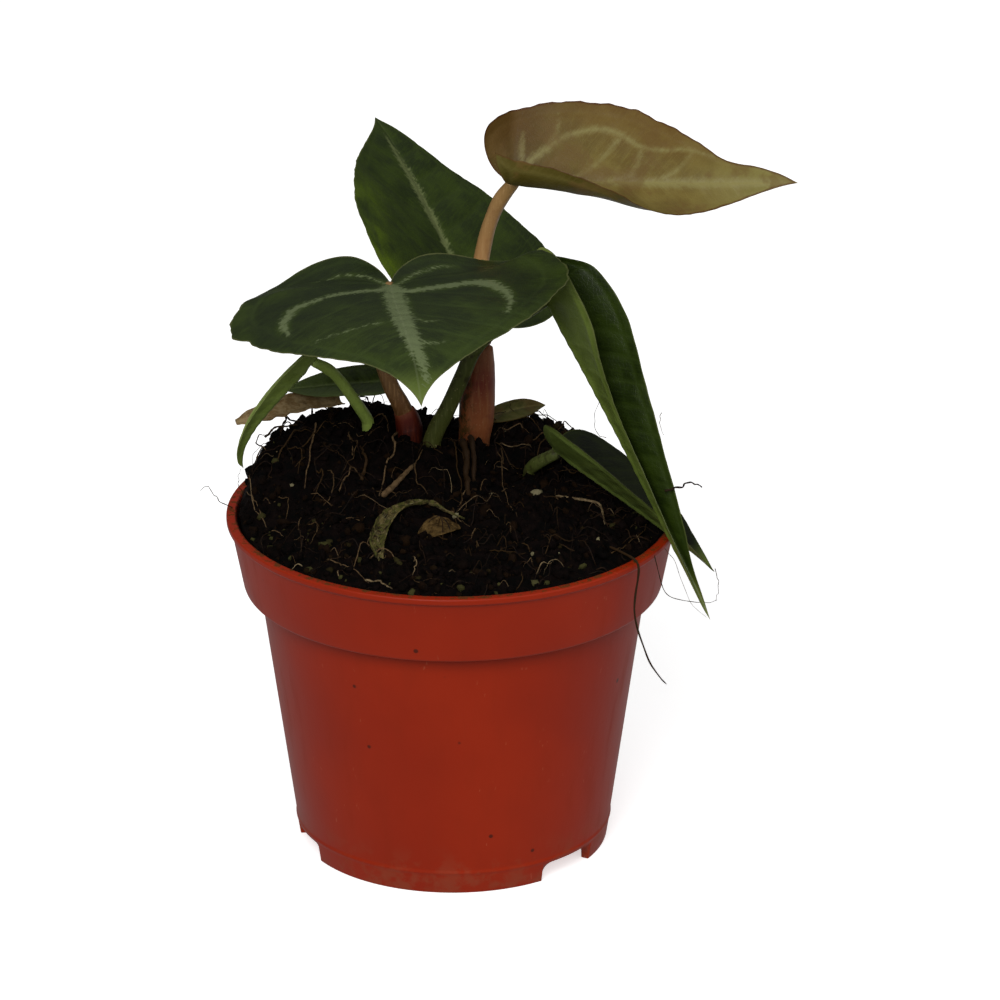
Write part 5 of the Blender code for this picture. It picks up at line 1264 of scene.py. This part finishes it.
# roots laid where the photo shows them: shade 0..1, radius mm, then x, y and height over the soil in mm
laidRoots = (
    (0.93, 0.22, ((9.9, 19.6, 0.3), (13.8, 21.2, 1.4), (18.3, 23.0, 1.2), (22.6, 21.2, 0.2))),
    (0.88, 0.16, ((11.7, 12.4, 0.4), (12.8, 8.6, 1.2), (13.8, -8.2, 1.4), (17.0, -19.6, 0.3))),
    (0.84, 0.14, ((13.0, 8.6, 0.5), (17.8, 12.2, 1.0), (23.1, 9.8, 0.3))),
    (0.86, 0.18, ((5.9, -6.2, 0.3), (8.5, -2.2, 1.0), (11.2, 1.2, 0.3))),
    (0.92, 0.34, ((-14.5, 13.0, 1.2), (-15.8, 8.4, 1.4), (-15.3, 4.6, 1.6), (-17.9, -1.6, 1.3), (-19.3, -11.0, 0.2))),
    (0.90, 0.30, ((-36.5, 18.0, 0.6), (-37.3, 8.6, 1.8), (-39.1, -3.2, 0.4))),
    (0.95, 0.16, ((-54.0, 6.0, 1.2), (-52.5, -6.2, 1.6), (-50.5, -12.2, 1.0), (-48.4, -17.0, 0.3))),
    (0.93, 0.13, ((-54.6, 2.0, 0.9), (-51.5, -8.2, 1.9), (-49.5, -14.0, 0.3))),
    (0.97, 0.30, ((-22.4, -47.6, 0.4), (-18.7, -49.2, 0.9), (-15.3, -52.2, 0.5))),
    (0.96, 0.20, ((-10.8, -39.0, 0.3), (-9.2, -43.6, 1.2), (-10.3, -48.0, 0.2))),
    (0.80, 0.20, ((25.2, 11.8, 0.3), (33.7, 7.2, 2.2), (39.0, 13.2, 0.4))),
    (0.82, 0.24, ((27.2, 18.0, 0.4), (24.4, 20.6, 1.6), (17.8, 16.2, 0.3))),
    (0.78, 0.24, ((28.2, 17.0, 3.6), (24.4, 17.6, 2.2), (20.8, 12.2, 0.3))),
    (0.80, 0.20, ((-40.4, 9.2, 0.3), (-34.5, 15.0, 2.4), (-30.2, 19.0, 0.2))),
    (0.75, 0.26, ((-47.4, 6.0, 0.4), (-42.4, 12.6, 2.6), (-37.4, 15.8, 0.2))),
    (0.74, 0.34, ((-50.0, 14.0, 2.4), (-46.4, 16.6, 3.4), (-41.4, 17.8, 1.2))),
    (0.90, 0.18, ((-32.5, -37.0, 0.4), (-26.7, -42.2, 0.7), (-21.4, -48.8, 0.3))),
    (0.82, 0.16, ((41.6, -31.2, 0.3), (48.0, -22.0, 1.0), (52.5, -6.2, 0.3))),
    (0.62, 1.10, ((2.6, 10.0, 1.4), (3.4, 4.0, 1.2), (4.0, -3.0, 0.9), (4.2, -9.0, 0.1))),
    (0.58, 0.80, ((4.6, 9.0, 1.8), (6.0, 3.0, 1.4), (5.8, -4.0, 0.6), (6.6, -10.0, 0.0))),
    (0.78, 0.20, ((0.5, 8.0, 2.5), (1.2, 1.0, 2.0), (2.4, -6.0, 1.0), (2.0, -13.0, 0.2))),
    (0.70, 0.50, ((-24.0, -4.0, 0.2), (-23.0, 2.0, 2.0), (-24.5, 8.0, 0.4))),
    (0.88, 0.22, ((-30.0, -6.0, 0.2), (-27.0, -1.0, 2.4), (-24.0, -4.0, 0.8))),
    (0.86, 0.18, ((-33.0, 2.0, 0.2), (-31.0, -6.0, 2.2), (-34.0, -12.0, 0.2))),
    (0.84, 0.18, ((-28.0, 12.0, 0.3), (-25.5, 6.0, 2.6), (-29.0, 0.0, 0.2))),
    (0.88, 0.20, ((-22.0, 20.0, 1.0), (-18.0, 17.0, 2.6), (-17.0, 12.0, 0.2))),
    (0.85, 0.20, ((-8.0, 4.0, 0.2), (-10.0, -3.0, 1.8), (-6.0, -9.0, 0.2))),
    (0.80, 0.22, ((10.0, 24.0, 1.6), (16.0, 26.0, 2.6), (24.0, 24.0, 0.4))),
    (0.55, 0.35, ((-46.0, 20.0, 0.5), (-44.0, 22.0, 3.5), (-40.0, 22.0, 0.5))),
    (0.60, 0.30, ((-38.0, 26.0, 0.5), (-37.0, 28.0, 4.0), (-33.0, 28.0, 1.0))),
    (0.70, 0.22, ((-50.0, 12.0, 0.4), (-52.0, 12.0, 4.4), (-50.0, 10.0, 6.0))),
    (0.65, 0.25, ((-28.0, 34.0, 0.5), (-25.0, 35.0, 3.6), (-21.0, 33.0, 0.6))),
    (0.75, 0.20, ((20.0, 32.0, 0.5), (23.0, 33.0, 3.2), (26.0, 31.0, 0.4))),
    (0.70, 0.20, ((28.0, 28.0, 0.5), (31.0, 30.0, 3.5), (34.0, 27.0, 0.5))),
    (0.80, 0.16, ((-44.0, 10.0, 0.4), (-40.0, 6.0, 3.0), (-41.0, 0.0, 0.4))),
    (0.80, 0.20, ((-36.0, 2.0, 0.4), (-34.0, -2.0, 2.6), (-37.0, -8.0, 0.4))),
    (0.85, 0.16, ((-46.0, -6.0, 0.4), (-43.0, -10.0, 2.2), (-44.0, -16.0, 0.4))),
    (0.85, 0.16, ((-38.0, -20.0, 0.4), (-35.0, -24.0, 1.8), (-37.0, -30.0, 0.4))),
)
# fine hairs in the open: shade, radius mm, then plain places in mm
looseHairs = (
    (0.60, 0.13, ((52.6, -28.0, 92.4), (55.2, -30.0, 83.4), (58.4, -30.0, 80.1), (63.6, -30.0, 78.7),
                  (66.8, -30.0, 78.7), (69.4, -30.0, 79.6))),
    (0.90, 0.08, ((54.0, -20.4, 91.4), (58.2, -20.0, 87.0), (62.5, -19.0, 75.0), (67.0, -18.0, 69.4))),
    (0.70, 0.10, ((68.9, -25.0, 86.4), (69.9, -25.0, 81.5), (69.2, -25.0, 77.2))),
    (0.35, 0.30, ((55.5, -25.6, 108.6), (59.5, -26.0, 110.0), (63.0, -26.6, 111.2), (65.2, -27.0, 110.2))),
    (0.60, 0.09, ((40.6, 1.6, 112.6), (38.4, 2.0, 113.6), (37.3, 2.0, 118.2), (38.6, 2.0, 123.0), (39.6, 2.0, 127.0))),
    (0.85, 0.10, ((54.6, -20.0, 128.4), (54.0, -20.0, 125.4), (55.2, -20.0, 122.0))),
    (0.80, 0.14, ((-58.4, 1.0, 92.9), (-62.4, 0.6, 95.6), (-64.6, 0.2, 99.0), (-66.9, 0.0, 98.3))),
    (0.80, 0.11, ((-55.0, 8.0, 92.5), (-57.0, 7.6, 97.0), (-56.4, 7.0, 101.6))),
    (0.70, 0.12, ((14.0, 26.0, 106.0), (16.0, 27.0, 109.4), (15.0, 28.0, 112.0), (17.6, 28.0, 112.6))),
)
stripShape = {"halfThickness": 0.00016, "ragged": 0.16, "crumple": 0.00028}
dryLooks = {
    "dryLeaf": dict(dark=(40, 30, 18), light=(74, 58, 36), fibre=(92, 74, 48)),
    "mossyDryLeaf": dict(dark=(24, 19, 12), light=(88, 78, 50), fibre=(118, 112, 80), moss=(64, 66, 34)),
    "witheredLeaf": dict(dark=(106, 86, 58), light=(130, 112, 82), fibre=(136, 120, 92)),
}
# steps and sides of the laid roots and hairs, how far they wander and how much they thin out
laid = {"steps": 29, "sides": 6, "wander": 0.0005, "thinning": 0.5, "knots": 0.15}


def buildStrip(name, row, finish):
    # a dry leaf as a gutter: arcs of the cup angle across a line, rolled about it, crumpled, with torn sides
    line = curveThrough(row["route"], 16)
    steps, columns = len(line), 17
    t = np.linspace(0, 1, steps)
    half = spread(row["widths"], steps)
    ahead = np.gradient(line, axis=0)
    ahead /= np.linalg.norm(ahead, axis=1, keepdims=True)
    left = np.cross((0, 0, 1), ahead)
    left /= np.linalg.norm(left, axis=1, keepdims=True)
    up = np.cross(ahead, left)
    roll = np.radians(np.linspace(*row["roll"], steps))[:, None]
    left, up = np.cos(roll) * left + np.sin(roll) * up, np.cos(roll) * up - np.sin(roll) * left
    across = np.linspace(-1, 1, columns)
    bend = math.radians(row["cup"])
    length = np.linalg.norm(np.diff(line, axis=0), axis=1).sum()
    tears = latticeNoise(t[:, None] * length + 0 * across, 0.004 * np.sign(across)[None] + 0 * t[:, None], 0.0016, 21)
    ragged = 1 + stripShape["ragged"] * tears * np.abs(across)
    sideways = half[:, None] * np.sin(across * bend) / bend * ragged
    lift = half[:, None] * (1 - np.cos(across * bend)) / bend
    crumple = stripShape["crumple"] * latticeNoise(t[:, None] * length, across[None] * half[:, None], 0.0013, 22)
    middle = line[:, None] + sideways[..., None] * left[:, None] + (lift + crumple)[..., None] * up[:, None]
    normal = up[:, None] * np.cos(across * bend)[None, :, None] - left[:, None] * np.sin(across * bend)[None, :, None]
    offset = stripShape["halfThickness"] * normal
    points = np.concatenate([(middle + offset).reshape(-1, 3), (middle - offset).reshape(-1, 3)])
    size = steps * columns
    top = gridQuads(steps, columns)
    edge = np.concatenate([
        np.arange(columns), np.arange(1, steps) * columns + columns - 1,
        (steps - 1) * columns + np.arange(columns - 2, -1, -1), np.arange(steps - 2, 0, -1) * columns])
    after = np.roll(edge, -1)
    rim = np.stack([edge, after, after + size, edge + size], -1)
    fields = {"along": np.tile(np.repeat(t, columns), 2), "sideWay": np.tile(np.tile(across, steps), 2)}
    return makePiece(name + "_skin", points, [top, top[:, ::-1] + size, rim], [finish], [name],
                     fields=fields, outward=True, crease=70)


def dryFinish(name, look):
    # two browns mixed by noise, pale fibres along the leaf, and where asked a film of moss
    f = Finish(name, Specular_IOR_Level=0.1)
    where = f.place()
    fibre = f.noise(f.vector(f.field("along") * 14, f.field("sideWay") * 9), 1.0, 3, 0.6)
    patch = f.noise(where, 420, 4, 0.65)
    f.color = paint(*look["dark"])
    f.coat(f.step(patch, 0.4, 0.62), look["light"])
    f.coat(f.step(fibre, 0.5, 0.66) * 0.6, look["fibre"])
    relief = patch + fibre
    if "moss" in look:
        film = f.step(f.noise(where, 640, 3, 0.6), 0.46, 0.56)
        f.coat(film * 0.7, look["moss"])
        relief = relief + film
    return f.done(0.82, f.bump(relief, 0.0003, 0.8))


def buildLitter():
    # the dead leaves, the twig and the two thick roots, then all laid roots and hairs as one piece
    dry, mossy, withered = (dryFinish(name, look) for name, look in dryLooks.items())
    for name, row in strips.items():
        buildStrip(name, row, {"curled_dead_leaf": mossy, "withered_leaf": withered}.get(name, dry))
    root = rootFinish("bentRoot", 0.97)
    woody = rootFinish("twigBark", 0.90)
    dark = rootFinish("rimRoot", 0.66)
    for name, row in rods.items():
        line = curveThrough(row["route"], 10)
        t = np.linspace(0, 1, len(line))
        radii = row["radius"] * (1.0 - 0.45 * t + 0.08 * np.sin(t * 40))   # thinner to the end, with round ends
        radii = radii * np.sqrt(np.clip(1 - (2 * t - 1)**16, 0.05, 1))
        points, faces, fields = tubes(line[None], radii[None], 12)
        finish = {"bent_root": root, "twig": woody}.get(name, dark)
        makePiece(name + "_skin", points, faces, [finish], [name], fields=fields, outward=True, crease=180)
    lines, radii, shades = [], [], []
    steps = np.arange(laid["steps"])
    t = np.linspace(0, 1, laid["steps"])
    for shade, radius, route in laidRoots + looseHairs:
        line = curveThrough(np.array(route, float) * mm, 12)
        line = np.stack([spread(line[:, k], laid["steps"]) for k in range(3)], -1)
        if len(lines) < len(laidRoots):   # their heights are over the soil
            line[:, 2] += roughSoil(line[:, 0], line[:, 1])
        wander = [latticeNoise(steps * 0.3, 7.0 * k + 0 * t, 1.0, 31 + len(lines)) for k in range(3)]
        lines.append(line + laid["wander"] * np.stack(wander, -1) * np.sin(np.pi * t)[:, None])
        radii.append(radius * mm * (1 - laid["thinning"] * t) * (1 + laid["knots"] * np.sin(steps * 1.7)))
        shades.append(shade)
    points, faces, fields = tubes(np.array(lines), np.array(radii), laid["sides"])
    fields["strand"] = np.repeat(shades, len(points) // len(shades))
    makePiece("laid_roots", points, faces, [rootFinish("laidRoot")], fields=fields, crease=180)
    print("litter laid")


setStudio()
buildPot()
buildSoil()
buildCrumbs()
buildFibres()
buildLeaves()
buildStems()
buildLitter()
